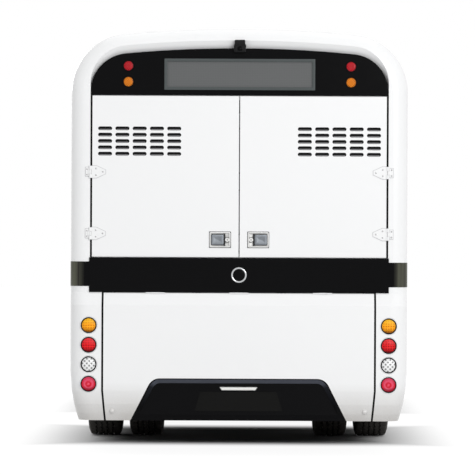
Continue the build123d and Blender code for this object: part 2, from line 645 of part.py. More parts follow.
ARM_BACK = 200
for name, hand in (("left", -1), ("right", 1)):
    with BuildPart() as knuckle:
        for low in (352, 554):
            rod("z", low, low + 54, (hand * KINGPIN_X, FRONT_AXLE_Y), 48)
            block(
                *sorted((hand * KINGPIN_X, hand * 950)), FRONT_AXLE_Y - 48, FRONT_AXLE_Y + 48, low, low + 54
            )
        block(*sorted((hand * 941, hand * 975)), FRONT_AXLE_Y - 60, FRONT_AXLE_Y + 60, 352, 608)
        block(
            hand * KINGPIN_X - 20, hand * KINGPIN_X + 20,
            FRONT_AXLE_Y - ARM_BACK - 20, FRONT_AXLE_Y - 30, 352, 380,
        )
        rod("z", 165, 370, (hand * KINGPIN_X, FRONT_AXLE_Y - ARM_BACK), 9)
        rod("x", *sorted((hand * 970, hand * 1115)), (FRONT_AXLE_Y, TYRE_R), 45)
        rod("z", 300, 700, (hand * KINGPIN_X, FRONT_AXLE_Y), 22.3, Mode.SUBTRACT)
    save(knuckle.part, f"knuckle_{name}")

with BuildPart() as tie_rod:
    rod("x", -KINGPIN_X, KINGPIN_X, (FRONT_AXLE_Y - ARM_BACK, 190), 14)
    for hand in (1, -1):
        rod("z", 170, 210, (hand * KINGPIN_X, FRONT_AXLE_Y - ARM_BACK), 20)
        rod("z", 150, 230, (hand * KINGPIN_X, FRONT_AXLE_Y - ARM_BACK), 9.3, Mode.SUBTRACT)
save(tie_rod.part, "tie_rod")


def wheel_ring(points, hand, centre, axle):
    """A ring turned about the axle from points of outward distance and radius."""
    with BuildSketch(Plane.XZ.offset(-axle)) as ring:
        with BuildLine():
            Polyline([(hand * (centre + out), TYRE_R - radius) for out, radius in points], close=True)
        make_face()
    revolve(ring.sketch, axis=Axis((0, axle, TYRE_R), (1, 0, 0)))


HALF_W = TYRE_W / 2
TYRE_POINTS = (
    (-112, RIM_R), (-HALF_W, 400), (-108, TYRE_R), (108, TYRE_R), (HALF_W, 400), (112, RIM_R),
)
SEAT_R = RIM_R - 0.3
FRONT_RIM = (
    (-110, SEAT_R), (110, SEAT_R), (110, 262), (55, 115), (118, 100), (118, 0), (77, 0), (77, 45.3),
    (-60, 45.3), (-60, 105), (30, 115), (-110, 262),
)
REAR_RIM = (
    (-445, SEAT_R), (110, SEAT_R), (110, 262), (-60, 250), (-75, 130), (30, 110), (30, 0), (-75, 0),
    (-75, 60.3), (-300, 60.3), (-300, 130), (-100, 140), (-100, 250), (-445, 262),
)
for name, hand in (("left", -1), ("right", 1)):
    with BuildPart() as tyre_front:
        wheel_ring(TYRE_POINTS, hand, FRONT_TRACK, FRONT_AXLE_Y)
    save(tyre_front.part, f"tyre_front_{name}")
    with BuildPart() as rim_front:
        wheel_ring(FRONT_RIM, hand, FRONT_TRACK, FRONT_AXLE_Y)
    save(rim_front.part, f"rim_front_{name}")
    with BuildPart() as tyres_rear:
        for centre in (REAR_OUT, REAR_IN):
            wheel_ring(TYRE_POINTS, hand, centre, REAR_AXLE_Y)
    save(tyres_rear.part, f"tyres_rear_{name}")
    with BuildPart() as rims_rear:
        wheel_ring(REAR_RIM, hand, REAR_OUT, REAR_AXLE_Y)
    save(rims_rear.part, f"rims_rear_{name}")

# Heavy masses as plain blocks
with BuildPart() as battery_pack:
    block(-HALF + 300, HALF - 300, REAR_Y + 160, REAR_Y + 800, 730, 2550)
save(battery_pack.part, "battery_pack")

with BuildPart() as traction_motor:
    rod("y", REAR_AXLE_Y - 1300, REAR_AXLE_Y - 750, (0, 515), 195)
    rod("y", REAR_AXLE_Y - 760, REAR_AXLE_Y - 151, (0, 515), 45)
    block(-480, 480, REAR_AXLE_Y - 1110, REAR_AXLE_Y - 990, 600, 640)
save(traction_motor.part, "traction_motor")

# Passenger doors: pillar with arms, and leaf, for each side of each doorway
for name, first in DOORS:
    for place, pillar, hand in (("back", first, 1), ("fore", first + DOOR_SPAN, -1)):
        pin = pillar + hand * ARM_L
        with BuildPart() as arm:
            rod("z", DOORWAY_LOW + 0.3, DOORWAY_TOP - 0.3, (PILLAR_X, pillar), PILLAR_R)
            for low, top, tip in ((376, 391, 420), (2305, 2320, 2276)):
                block(PILLAR_X - 16, PILLAR_X + 16, *sorted((pillar, pin)), low, top)
                rod("z", low, top, (PILLAR_X, pin), 20)
                rod("z", *sorted(((low + top) / 2, tip)), (PILLAR_X, pin), 10)
        save(arm.part, f"door_arm_{name}_{place}")
        with BuildPart() as leaf:
            near = pillar + hand * LEAF_END
            far = pillar + hand * (2 * ARM_L - LEAF_END)
            block(PILLAR_X + LEAF_IN, PILLAR_X + LEAF_OUT, *sorted((near, far)), LEAF_LOW, LEAF_TOP)
            block(
                PILLAR_X, 1400, *sorted((near + hand * 70, far - hand * 70)), LEAF_LOW + 110, LEAF_TOP - 90,
                Mode.SUBTRACT,
            )
            block(
                PILLAR_X + LEAF_IN + 12, PILLAR_X + LEAF_IN + 24,
                *sorted((near + hand * 70.3, far - hand * 70.3)), LEAF_LOW + 110.3, LEAF_TOP - 90.3,
            )
            for low in (LEAF_LOW, LEAF_TOP - 24):
                block(PILLAR_X - 20, PILLAR_X + LEAF_IN + 2, pin - 22, pin + 22, low, low + 24)
                rod("z", low - 5, low + 30, (PILLAR_X, pin), 10.3, Mode.SUBTRACT)
        save(leaf.part, f"door_leaf_{name}_{place}")

# Cabin: seats, driver's place, rails
SEAT_OUT = HALF - 275
SEAT_IN = SEAT_OUT - 415
SEAT_HALF = 200
SEAT_START = FRONT_AXLE_Y - FRONT_BOX_Y - 680


def seat_rows(pitch, end):
    """Places of the seat backs from the first row rearward, as far as end."""
    return [SEAT_START - pitch * k for k in range(int((SEAT_START - end) // pitch) + 1)]


LEFT_ROWS = seat_rows(800, RISER_Y + 600)
RIGHT_ROWS = seat_rows(700, MIDDLE_PILLAR + DOOR_SPAN + 800)
BOX_ROWS = (REAR_AXLE_Y + 100, REAR_AXLE_Y - 550)
SEATS = (
    [(-x, y, FLOOR_Z) for y in LEFT_ROWS for x in (SEAT_OUT, SEAT_IN)]
    + [(SEAT_OUT, y, FLOOR_Z) for y in RIGHT_ROWS]
    + [(hand * (HALF - 350), y, BOX_Z) for y in BOX_ROWS for hand in (1, -1)]
    + [(x, BULKHEAD_Y + 30, REAR_FLOOR_Z) for x in (-SEAT_OUT, -SEAT_IN, 0, SEAT_IN, SEAT_OUT)]
)
with BuildPart() as passenger_seats:
    for x, back, z in SEATS:
        rise = 300 if z == BOX_Z else 420
        with BuildSketch(Plane.YZ.offset(x - SEAT_HALF)):
            with BuildLine():
                Polyline(
                    (back + 60, z + rise - 60), (back + 490, z + rise - 40), (back + 490, z + rise + 20),
                    (back + 130, z + rise + 10), (back + 50, z + rise + 640), (back, z + rise + 640), close=True,
                )
            make_face()
        extrude(amount=2 * SEAT_HALF)
        block(x - 40, x + 40, back + 130, back + 400, z, z + rise - 30)
save(passenger_seats.part, "passenger_seats")

with BuildPart() as driver_station:
    wall = -HALF + 130
    block(wall, -150, FRONT_AXLE_Y + FRONT_BOX_Y + 200, FRONT_CAP_Y - 60, FLOOR_Z, 560)
    block(wall, 300, FRONT_CAP_Y + 60, FRONT_CAP_Y + 200, FLOOR_Z, 1000)
    block(wall, -150, FRONT_CAP_Y - 140, FRONT_CAP_Y + 70, 560, 980)
    block(-840, -560, FRONT_CAP_Y - 1140, FRONT_CAP_Y - 740, 560, 900)
    block(-880, -520, FRONT_CAP_Y - 1200, FRONT_CAP_Y - 680, 880, 1000)
    block(-870, -530, FRONT_CAP_Y - 1220, FRONT_CAP_Y - 1120, 960, 1660)
    rod("z", 960, 1125, (-700, FRONT_CAP_Y - 210), 30)
    with Locations(Location((-700, FRONT_CAP_Y - 230, 1120), (20, 0, 0))):
        Torus(215, 18)
        Cylinder(60, 30)
        Box(400, 30, 16)
    block(-720, -680, FRONT_CAP_Y - 210, FRONT_CAP_Y - 100, 960, 1080)
save(driver_station.part, "driver_station")

STANCHIONS = (
    (FRONT_AXLE_Y + 300, FLOOR_Z), (FRONT_AXLE_Y - 1350, FLOOR_Z), (RISER_Y + 600, FLOOR_Z),
    (REAR_AXLE_Y - 150, REAR_FLOOR_Z), (BULKHEAD_Y + 250, REAR_FLOOR_Z),
)
with BuildPart() as handrails:
    for hand in (1, -1):
        rod("y", BULKHEAD_Y + 150, FRONT_AXLE_Y + 400, (hand * 330, 2250), 16)
        for y, z in STANCHIONS:
            rod("z", z, 3090, (hand * 330, y), 16)
save(handrails.part, "handrails")
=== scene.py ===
"""City bus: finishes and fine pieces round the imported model.

Metres, +Y is the front, +X the door side, +Z up. A shape is a pair: points (n, 3) and quads (m, 4).
"""

import math

import bmesh
import bpy
import numpy as np
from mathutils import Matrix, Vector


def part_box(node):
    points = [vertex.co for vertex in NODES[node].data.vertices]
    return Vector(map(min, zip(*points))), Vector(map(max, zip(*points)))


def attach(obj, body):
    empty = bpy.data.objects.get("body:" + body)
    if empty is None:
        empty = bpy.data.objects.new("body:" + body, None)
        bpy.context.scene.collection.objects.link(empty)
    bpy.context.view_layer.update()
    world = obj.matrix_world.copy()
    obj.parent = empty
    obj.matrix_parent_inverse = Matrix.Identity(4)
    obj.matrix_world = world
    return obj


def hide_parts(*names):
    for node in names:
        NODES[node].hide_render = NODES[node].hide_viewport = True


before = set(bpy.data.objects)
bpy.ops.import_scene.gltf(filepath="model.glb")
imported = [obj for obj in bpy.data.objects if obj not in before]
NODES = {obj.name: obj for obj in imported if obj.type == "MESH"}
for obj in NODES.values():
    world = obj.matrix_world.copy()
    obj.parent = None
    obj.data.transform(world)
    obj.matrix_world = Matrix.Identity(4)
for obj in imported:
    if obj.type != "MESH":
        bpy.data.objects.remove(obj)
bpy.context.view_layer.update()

bl_info = {
    "name": "City Bus Finish",
    "version": (1, 0, 0),
    "blender": (4, 5, 0),
    "location": "View3D > Sidebar > City Bus",
    "description": "Finishes and fine pieces for a city bus",
    "category": "Object",
}

SIDES = (("left", -1), ("right", 1))
DOORWAYS = ("front", "middle")
LEAVES = ("back", "fore")

# Places read from the frame
REAR_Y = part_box("rear_corners")[0].y
DOOR_BOX = {name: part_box(f"rear_door_{name}") for name, _ in SIDES}
REAR_FACE = DOOR_BOX["left"][1].y - 0.0405
LAMP_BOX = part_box("lamps_clear")
LAMP_R = (LAMP_BOX[1].z - LAMP_BOX[0].z) / 2
LAMP_X = LAMP_BOX[1].x - LAMP_R
LAMP_FLOOR = LAMP_BOX[1].y
BEZEL_R = LAMP_R + 0.002
LENS_R = BEZEL_R * 0.955
TYRE_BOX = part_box("tyre_front_right")
TYRE_R = (TYRE_BOX[1].z - TYRE_BOX[0].z) / 2
FRONT_AXLE = (TYRE_BOX[0].y + TYRE_BOX[1].y) / 2
FRONT_TRACK = (TYRE_BOX[0].x + TYRE_BOX[1].x) / 2
TYRE_W = TYRE_BOX[1].x - TYRE_BOX[0].x
TWIN_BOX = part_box("tyres_rear_right")
REAR_AXLE = (TWIN_BOX[0].y + TWIN_BOX[1].y) / 2
REAR_OUT = TWIN_BOX[1].x - TYRE_W / 2
REAR_IN = TWIN_BOX[0].x + TYRE_W / 2
SIDE_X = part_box("side_wall_right")[1].x
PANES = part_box("side_windows")
FRONT_CAP_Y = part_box("front_cap")[0].y
ROOF_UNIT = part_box("roof_unit")
OPENING_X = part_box("rear_top_panel")[1].x + 0.003

# Rear face
LAMP_ROWS = {"amber": 0.963, "red": 0.818, "reflector": 0.529, "clear": 0.674}
MARK_ROWS = {"amber": 2.767, "red": 2.885}
MARK_X = 0.825
MARK_R = 0.037
HINGE_ROWS = (2.098, 1.642)
LATCH_X = 0.1415
LATCH_Z = 1.599
LOUVRE_AT = (0.740, 2.327)
LOUVRE_PITCH = (0.128, 0.047)
LOUVRE_HALF = (0.052, 0.014)
LOUVRE_COUNT = 5
HATCH_BEND = 0.480
KNOB_AT = (0.935, 0.329)
BAND_RING_Z = 1.338
BAND_FOOT = 1.2078
DISPLAY_Z = 2.824
SCREW_FIXED_X = 1.128
SCREW_PLACES = ((1.062, 0.024), (1.062, -0.024), (1.012, 0.0))

# Joint lines, floor and camera
FAR = 20.0
LINE_GREY = (0.10, 0.10, 0.10, 1)
WHITE = (1, 1, 1, 1)
FLOOR_HALF = 80.0
FLOOR_GLOW = 1.12
# Reach of the painted shadow round each axle.
SHADOW_POOL_REACH = 1.1
SENSOR_WIDTH = 36.0
CAMERA_X = -0.012

# Wheel sections: place outwards from the middle of the tyre, radius
FRONT_DISC = ((-0.110, 0.2896), (0.103, 0.2896), (0.113, 0.2890), (0.116, 0.284), (0.112, 0.276),
              (0.098, 0.268), (0.078, 0.260), (0.066, 0.250))
FRONT_WEB = ((0.066, 0.250), (0.058, 0.225), (0.054, 0.195), (0.053, 0.150))
FRONT_HUB = ((0.053, 0.128), (0.056, 0.112), (0.070, 0.108), (0.102, 0.104), (0.111, 0.097),
             (0.1165, 0.070), (0.118, 0.030), (0.118, 0.0), (0.077, 0.0), (0.077, 0.0456), (-0.060, 0.0456),
             (-0.060, 0.105), (0.028, 0.118), (0.028, 0.250), (-0.095, 0.262))
REAR_DISC = ((-0.445, 0.2896), (0.103, 0.2896), (0.113, 0.2890), (0.116, 0.284), (0.112, 0.276),
             (0.098, 0.268), (0.020, 0.262), (-0.045, 0.257), (-0.056, 0.250))
REAR_WEB = ((-0.056, 0.250), (-0.060, 0.225), (-0.066, 0.195), (-0.070, 0.150))
REAR_HUB = ((-0.070, 0.140), (-0.066, 0.128), (-0.020, 0.122), (0.010, 0.118), (0.024, 0.108),
            (0.028, 0.080), (0.030, 0.0), (-0.075, 0.0), (-0.075, 0.0605), (-0.300, 0.0605),
            (-0.300, 0.130), (-0.100, 0.140), (-0.100, 0.250), (-0.445, 0.262))
HAND_HOLES = 10
BOLT_CIRCLE = 0.1675

# Battery behind the rear doors
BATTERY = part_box("battery_pack")
MODULE_COLUMNS = 3
MODULE_ROWS = 4

# Sides, front, roof and cabin
WINDOW_R = 0.060
WINDOW_ROWS = {
    -1: ((-4.300, -2.816), (-2.746, -1.262), (-1.192, 0.292), (0.362, 1.846), (1.916, 3.400),
         (3.480, 4.560)),
    1: ((-4.300, -3.000), (-2.930, -1.630), (-0.190, 1.485), (1.555, 3.230)),
}
MARKER_Z = 0.800
MARKER_ROWS = {-1: (-3.65, -1.45, 0.35, 1.60, 3.70), 1: (-3.65, 0.35, 1.60)}
SEAT_ROWS = (
    [(-x, y, 0.370, 0.42) for y in (1.30, 0.50, -0.30, -1.10) for x in (0.975, 0.560)]
    + [(0.975, y, 0.370, 0.42) for y in (1.30, 0.60)]
    + [(hand * 0.900, y, 1.075, 0.30) for y in (-2.35, -3.00) for hand in (1, -1)]
    + [(x, -4.02, 0.780, 0.42) for x in (-0.975, -0.560, 0.0, 0.560, 0.975)]
)
PAD_CELL = 0.011
PAD_FRAMES = 20
PAD_PRESSURE = 4.0
DRIVER_X = -0.70
FRONT_DISPLAY_Z = 2.72
MIRROR_ARM_Z = 2.50
WIPER_PIVOTS = (-0.62, 0.25)
WIPER_Z = 0.930
FAN_PITCH = 0.75
ARCH_R = 0.560
TUCK_R = 1.100
TUCK_TOP = 0.620


def tint(name, description, default):
    """A colour that a user can change."""
    return bpy.props.FloatVectorProperty(
        name=name, description=description, subtype="COLOR", size=3, min=0, max=1, default=default)


def length(name, description, default):
    """A length that a user can change."""
    return bpy.props.FloatProperty(name=name, description=description, unit="LENGTH", default=default)


class BusColours(bpy.types.PropertyGroup):
    """Colours that a user would change."""

    paint: tint("Paint", "White of the body panels", (0.83, 0.835, 0.84))
    black: tint("Black", "Gloss black of the rear glass and the band", (0.0022, 0.0022, 0.0026))
    amber: tint("Amber", "Lens of the turn lamps", (0.98, 0.40, 0.012))
    red: tint("Red", "Lens of the stop and tail lamps", (0.74, 0.014, 0.018))
    seat: tint("Seat cloth", "Cloth of the seat pads", (0.035, 0.075, 0.19))


class BusSizes(bpy.types.PropertyGroup):
    """Sizes of the fine pieces."""

    groove: length("Tread groove", "Depth of the road tread", 0.013)
    lens_rise: length("Lens rise", "Height of a lamp lens over its edge", 0.010)
    gasket: length("Gasket", "How far a window gasket stands proud", 0.004)
    screw: length("Screw head", "Radius of the hinge screws", 0.0065)


class BusStage(bpy.types.PropertyGroup):
    """Camera and light."""

    distance: length("Distance", "From the camera to the rear face", 26.0)
    height: length("Height", "Camera over the floor", 1.616)
    lens: bpy.props.FloatProperty(
        name="Lens", description="Focal length on a 36 mm sensor", default=266.0)
    roll: bpy.props.FloatProperty(
        name="Roll", description="Turn of the camera about its view", subtype="ANGLE",
        default=math.radians(-0.25))
    sky: bpy.props.FloatProperty(
        name="Sky", description="Strength of the even light from all round", default=0.80)
    key: bpy.props.FloatProperty(
        name="Key", description="Power of the soft light behind the camera", subtype="POWER",
        default=1120.0)


def colours():
    """The colours of this scene."""
    return bpy.context.scene.bus_colours


def sizes():
    """The sizes of this scene."""
    return bpy.context.scene.bus_sizes


# Shapes


def grid(points, wrap_rows=False, wrap_cols=False):
    """Points (rows, cols, 3) as a shape: a quad between each point and its neighbours, closed round
    where asked."""
    rows, cols = points.shape[:2]
    a, b = np.meshgrid(np.arange(rows - (not wrap_rows)), np.arange(cols - (not wrap_cols)), indexing="ij")
    c, d = (a + 1) % rows, (b + 1) % cols
    quads = np.stack([a * cols + b, c * cols + b, c * cols + d, a * cols + d], -1)
    return points.reshape(-1, 3), quads.reshape(-1, 4)


def capped(points):
    """Rings of points as a shape, each end shut by its ring's middle."""
    ends = [np.broadcast_to(points[k].mean(0), points[k].shape)[None] for k in (0, -1)]
    return grid(np.concatenate([ends[0], points, ends[1]]), wrap_cols=True)


def joined(*shapes):
    """Several shapes as one, each one's quads numbered after the points before it."""
    starts = np.cumsum([0] + [len(points) for points, _ in shapes[:-1]])
    quads = [quads + start for (_, quads), start in zip(shapes, starts)]
    return np.concatenate([points for points, _ in shapes]), np.concatenate(quads)


def copies(shape, offsets):
    """The shape repeated: points plus each offset, quads renumbered."""
    points, quads = shape
    offsets = np.asarray(offsets, float)
    starts = np.arange(len(offsets)) * len(points)
    moved = points[None] + offsets[:, None]
    renumbered = quads[None] + starts[:, None, None]
    return moved.reshape(-1, 3), renumbered.reshape(-1, 4)


def both_sides(shape):
    """The shape and its reflection in the plane X = 0."""
    points, quads = shape
    return joined(shape, (points * (-1, 1, 1), quads[:, ::-1]))


WAYS = {
    "rear": ((1, 0, 0), (0, 0, 1), (0, -1, 0)),
    "front": ((1, 0, 0), (0, 0, 1), (0, 1, 0)),
    "left": ((0, 1, 0), (0, 0, 1), (-1, 0, 0)),
    "right": ((0, 1, 0), (0, 0, 1), (1, 0, 0)),
    "top": ((1, 0, 0), (0, 1, 0), (0, 0, 1)),
}


def rounded(half_a, half_b, corner, steps=6):
    """A rounded rectangle: four quarter circles of radius corner, joined by straight runs."""
    quarter = np.linspace(0, math.pi / 2, steps)
    angle = np.concatenate([quarter + k * math.pi / 2 for k in range(4)])
    signs = np.repeat([(1, 1), (-1, 1), (-1, -1), (1, -1)], steps, axis=0)
    middles = signs * (half_a - corner, half_b - corner)
    return middles + corner * np.column_stack([np.cos(angle), np.sin(angle)])


def pressed(half, corner, levels, way, centre, steps=6, shut=True):
    """Rounded rectangles at levels of inset and height out of a wall, shut by their middle at both ends.
    With shut false the levels are a closed bead's section, carried once round the rectangle."""
    rings = []
    for inset, out in levels:
        ring = rounded(half[0] - inset, half[1] - inset, max(corner - inset, 1e-4), steps)
        rings.append(np.column_stack([ring, np.full(len(ring), out)]))
    if shut:
        rings = [rings[0] * (0, 0, 1)] + rings + [rings[-1] * (0, 0, 1)]
    points = np.array(rings) @ np.array(WAYS[way], float) + np.asarray(centre, float)
    return grid(points, wrap_rows=not shut, wrap_cols=True)


def dome(centre, way, radius, height):
    """A round-topped head: rounded squares with a full corner, each level on a circle's arc."""
    angle = np.linspace(0, math.pi / 2, 6)
    levels = [(0, -0.0012)] + [(radius * (1 - math.cos(a)) * 0.98, height * math.sin(a)) for a in angle]
    return pressed((radius, radius), radius, levels, way, centre, steps=4)


def plate(outline, levels, way, centre):
    """An outline of points carried through levels out of a wall, shut by its middle at both ends."""
    ring = np.asarray(outline, float)
    rings = [np.column_stack([ring, np.full(len(ring), out)]) for out in levels]
    return capped(np.array(rings) @ np.array(WAYS[way], float) + np.asarray(centre, float))


def turned(profile, steps, centre, axis, loop=False):
    """Profile points (along, radius) carried round an axis: along stays, radius turns by cosine and sine."""
    along, radius = np.asarray(profile, float).T
    angle = np.arange(steps) * 2 * math.pi / steps
    a = np.repeat(along[:, None], steps, axis=1)
    c, s = radius[:, None] * np.cos(angle), radius[:, None] * np.sin(angle)
    points = np.stack({"x": (a, c, s), "y": (s, a, c), "z": (c, s, a)}[axis], -1)
    return grid(points + np.asarray(centre, float), wrap_rows=loop, wrap_cols=True)


def tube(path, radius, sides=10):
    """A round bar: circles square to the path's direction, shut at both ends."""
    path = np.asarray(path, float)
    ahead = np.gradient(path, axis=0)
    ahead /= np.linalg.norm(ahead, axis=1)[:, None]
    side = np.cross(ahead, (0.31, 0.17, 0.93))
    side /= np.linalg.norm(side, axis=1)[:, None]
    up = np.cross(side, ahead)
    angle = np.arange(sides) * 2 * math.pi / sides
    ring = np.cos(angle)[:, None] * side[:, None] + np.sin(angle)[:, None] * up[:, None]
    middles = path[:, None] + 0 * ring
    points = np.concatenate([middles[:1], middles + radius * ring, middles[-1:]])
    return grid(points, wrap_cols=True)


def strip(path, section):
    """A section (across X, square to the path) carried along a path in the YZ plane, shut at both ends."""
    path = np.asarray(path, float)
    ahead = np.gradient(path, axis=0)
    ahead /= np.linalg.norm(ahead, axis=1)[:, None]
    square = np.column_stack([-ahead[:, 1], ahead[:, 0]])
    across, rise = np.asarray(section, float).T
    yz = path[:, None] + rise[None, :, None] * square[:, None]
    points = np.concatenate([np.broadcast_to(across[None, :, None], yz.shape[:2] + (1,)), yz], axis=2)
    return capped(points)


def curve(points, count):
    """A smooth path through points: each coordinate eased between neighbours by Catmull and Rom's cubic."""
    points = np.asarray(points, float)
    padded = np.concatenate([2 * points[:1] - points[1:2], points, 2 * points[-1:] - points[-2:-1]])
    place = np.linspace(0, len(points) - 1, count)
    k = np.minimum(place.astype(int), len(points) - 2)
    t = (place - k)[:, None]
    p0, p1, p2, p3 = (padded[k + j] for j in range(4))
    return 0.5 * (2 * p1 + (p2 - p0) * t + (2 * p0 - 5 * p1 + 4 * p2 - p3) * t**2
                  + (3 * p1 - p0 - 3 * p2 + p3) * t**3)


def mesh_of(name, shape):
    """A mesh from a shape, doubles merged and faces turned outwards."""
    points, quads = shape
    mesh = bpy.data.meshes.new(name)
    mesh.vertices.add(len(points))
    mesh.vertices.foreach_set("co", np.ascontiguousarray(points, np.float32).ravel())
    mesh.loops.add(quads.size)
    mesh.loops.foreach_set("vertex_index", np.ascontiguousarray(quads, np.int32).ravel())
    mesh.polygons.add(len(quads))
    mesh.polygons.foreach_set("loop_start", np.arange(0, quads.size, 4, dtype=np.int32))
    mesh.update(calc_edges=True)
    work = bmesh.new()
    work.from_mesh(mesh)
    bmesh.ops.remove_doubles(work, verts=work.verts, dist=3e-6)
    bmesh.ops.recalc_face_normals(work, faces=work.faces)
    work.to_mesh(mesh)
    work.free()
    return mesh


def piece(name, shape, finish, body="body", replaces=(), angle=38):
    """A named object from a shape, riding on a CAD body. Its slot is its finish's name."""
    mesh = mesh_of(name, shape)
    mesh.shade_smooth()
    mesh.set_sharp_from_angle(angle=math.radians(angle))
    mesh.materials.append(FINISHES[finish])
    obj = bpy.data.objects.new(name, mesh)
    bpy.context.scene.collection.objects.link(obj)
    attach(obj, body)
    if replaces:
        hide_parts(*replaces)
    return obj


# Finishes

FINISHES = {}
# Darkening towards the foot of a finish: a dusting on most finishes, painted shade on the rear paint.
DUST_AND_SHADE_FOOT = 0.25
DUST_AND_SHADE_COLOUR = (0.30, 0.27, 0.23, 1)


def node(tree, kind, inputs=(), **settings):
    """One shader node with its settings, each input a value or a link."""
    made = tree.nodes.new(kind)
    for key, value in settings.items():
        setattr(made, key, value)
    for key, value in dict(inputs).items():
        if isinstance(value, bpy.types.NodeSocket):
            tree.links.new(value, made.inputs[key])
        else:
            made.inputs[key].default_value = value
    return made


def maths(tree, operation, a, b=0.0, c=0.0, clamp=False):
    """One step of arithmetic on values or links."""
    return node(tree, "ShaderNodeMath", {0: a, 1: b, 2: c}, operation=operation, use_clamp=clamp).outputs[0]


def mixed(tree, factor, a, b):
    """Two colours mixed by a factor."""
    made = node(tree, "ShaderNodeMix", {0: factor, 6: a, 7: b}, data_type="RGBA")
    return made.outputs[2]


def axes(tree):
    """The sockets of the object's own X, Y and Z."""
    place = node(tree, "ShaderNodeTexCoord").outputs["Object"]
    return node(tree, "ShaderNodeSeparateXYZ", {0: place}).outputs


def ranged(tree, value, start, end, low=0.0, high=1.0, kind="LINEAR"):
    """A value carried from one range to another and held at its ends."""
    limits = {"Value": value, "From Min": start, "From Max": end, "To Min": low, "To Max": high}
    return node(tree, "ShaderNodeMapRange", limits, interpolation_type=kind).outputs[0]


def use(tree, group, inputs):
    """The sockets of a shared group placed in a tree."""
    return node(tree, "ShaderNodeGroup", inputs, node_tree=bpy.data.node_groups[group]).outputs


def in_box(tree, y_low, y_high, z_low, z_high):
    """One inside a box of Y and Z, nought outside."""
    limits = {"Y Low": y_low, "Y High": y_high, "Z Low": z_low, "Z High": z_high}
    return use(tree, "box_mask", limits)["Mask"]


def seen_share(tree):
    """One for rays that a viewer sees: straight, mirrored or through glass."""
    path = node(tree, "ShaderNodeLightPath")
    seen = maths(tree, "ADD", path.outputs["Is Camera Ray"], path.outputs["Is Glossy Ray"])
    return maths(tree, "ADD", seen, path.outputs["Is Transmission Ray"], clamp=True)


def new_group(name, inputs, outputs):
    """An empty shader group with named sockets."""
    tree = bpy.data.node_groups.new(name, "ShaderNodeTree")
    for in_out, rows in (("INPUT", inputs), ("OUTPUT", outputs)):
        for label, kind, *default in rows:
            socket = tree.interface.new_socket(label, in_out=in_out, socket_type=f"NodeSocket{kind}")
            if default:
                socket.default_value = default[0]
    return tree, tree.nodes.new("NodeGroupInput"), tree.nodes.new("NodeGroupOutput")


def grain_group():
    """Mottled colour, a darkening low down that is a dusting on most finishes and painted shade on the rear
    paint, and a fine height for bump.
    """
    tree, given, made = new_group(
        "finish_grain",
        (("Colour", "Color"), ("Roughness", "Float", 0.4), ("Mottle", "Float", 0.05),
         ("Scale", "Float", 40.0), ("Dust", "Float", 0.0), ("Dust Top", "Float", 0.9)),
        (("Colour", "Color"), ("Roughness", "Float"), ("Height", "Float")),
    )
    place = node(tree, "ShaderNodeTexCoord").outputs["Object"]
    broad = node(tree, "ShaderNodeTexNoise", {"Vector": place, "Scale": 1.7, "Detail": 4.0}).outputs[0]
    fine = node(tree, "ShaderNodeTexNoise",
                {"Vector": place, "Scale": given.outputs["Scale"], "Detail": 3.0}).outputs[0]
    low = ranged(tree, axes(tree)["Z"], given.outputs["Dust Top"], DUST_AND_SHADE_FOOT)
    streak = maths(tree, "ADD", maths(tree, "MULTIPLY", fine, 0.6), maths(tree, "MULTIPLY", broad, 0.8))
    dust = maths(tree, "MULTIPLY", maths(tree, "MULTIPLY", low, streak), given.outputs["Dust"], clamp=True)
    both = maths(tree, "ADD", maths(tree, "MULTIPLY", broad, 0.6), maths(tree, "MULTIPLY", fine, 0.4))
    shift = maths(tree, "MULTIPLY", maths(tree, "SUBTRACT", both, 0.5), given.outputs["Mottle"])
    bright = maths(tree, "ADD", 1.0, maths(tree, "MULTIPLY", shift, 2.0))
    toned = node(tree, "ShaderNodeVectorMath", {0: given.outputs["Colour"], 3: bright},
                 operation="SCALE").outputs[0]
    tree.links.new(mixed(tree, dust, toned, DUST_AND_SHADE_COLOUR), made.inputs["Colour"])
    rough = maths(tree, "ADD", given.outputs["Roughness"], maths(tree, "MULTIPLY", shift, 1.5))
    tree.links.new(maths(tree, "ADD", rough, maths(tree, "MULTIPLY", dust, 0.4)), made.inputs["Roughness"])
    tree.links.new(fine, made.inputs["Height"])


def lattice_group():
    """Soft dots on a square grid and on one turned by an eighth, over X and Z."""
    tree, given, made = new_group(
        "dot_lattice", (("Pitch", "Float", 0.02),), (("Square", "Float"), ("Diamond", "Float"))
    )
    parts = axes(tree)
    x, z = (maths(tree, "DIVIDE", parts[k], given.outputs["Pitch"]) for k in ("X", "Z"))
    for label, a, b in (
        ("Square", x, z), ("Diamond", maths(tree, "ADD", x, z), maths(tree, "SUBTRACT", x, z))
    ):
        waves = [maths(tree, "COSINE", maths(tree, "MULTIPLY", v, 2 * math.pi)) for v in (a, b)]
        dots = maths(tree, "MULTIPLY", maths(tree, "ADD", waves[0], 1.0), maths(tree, "ADD", waves[1], 1.0))
        tree.links.new(maths(tree, "MULTIPLY", dots, 0.25), made.inputs[label])


def box_group():
    """One inside a box of Y and Z, nought outside."""
    tree, given, made = new_group(
        "box_mask",
        (("Y Low", "Float"), ("Y High", "Float"), ("Z Low", "Float"), ("Z High", "Float")),
        (("Mask", "Float"),),
    )
    parts = axes(tree)
    tests = []
    for axis in ("Y", "Z"):
        tests.append(maths(tree, "GREATER_THAN", parts[axis], given.outputs[f"{axis} Low"]))
        tests.append(maths(tree, "LESS_THAN", parts[axis], given.outputs[f"{axis} High"]))
    mask = maths(tree, "MULTIPLY", maths(tree, "MULTIPLY", tests[0], tests[1]),
                 maths(tree, "MULTIPLY", tests[2], tests[3]))
    tree.links.new(mask, made.inputs["Mask"])


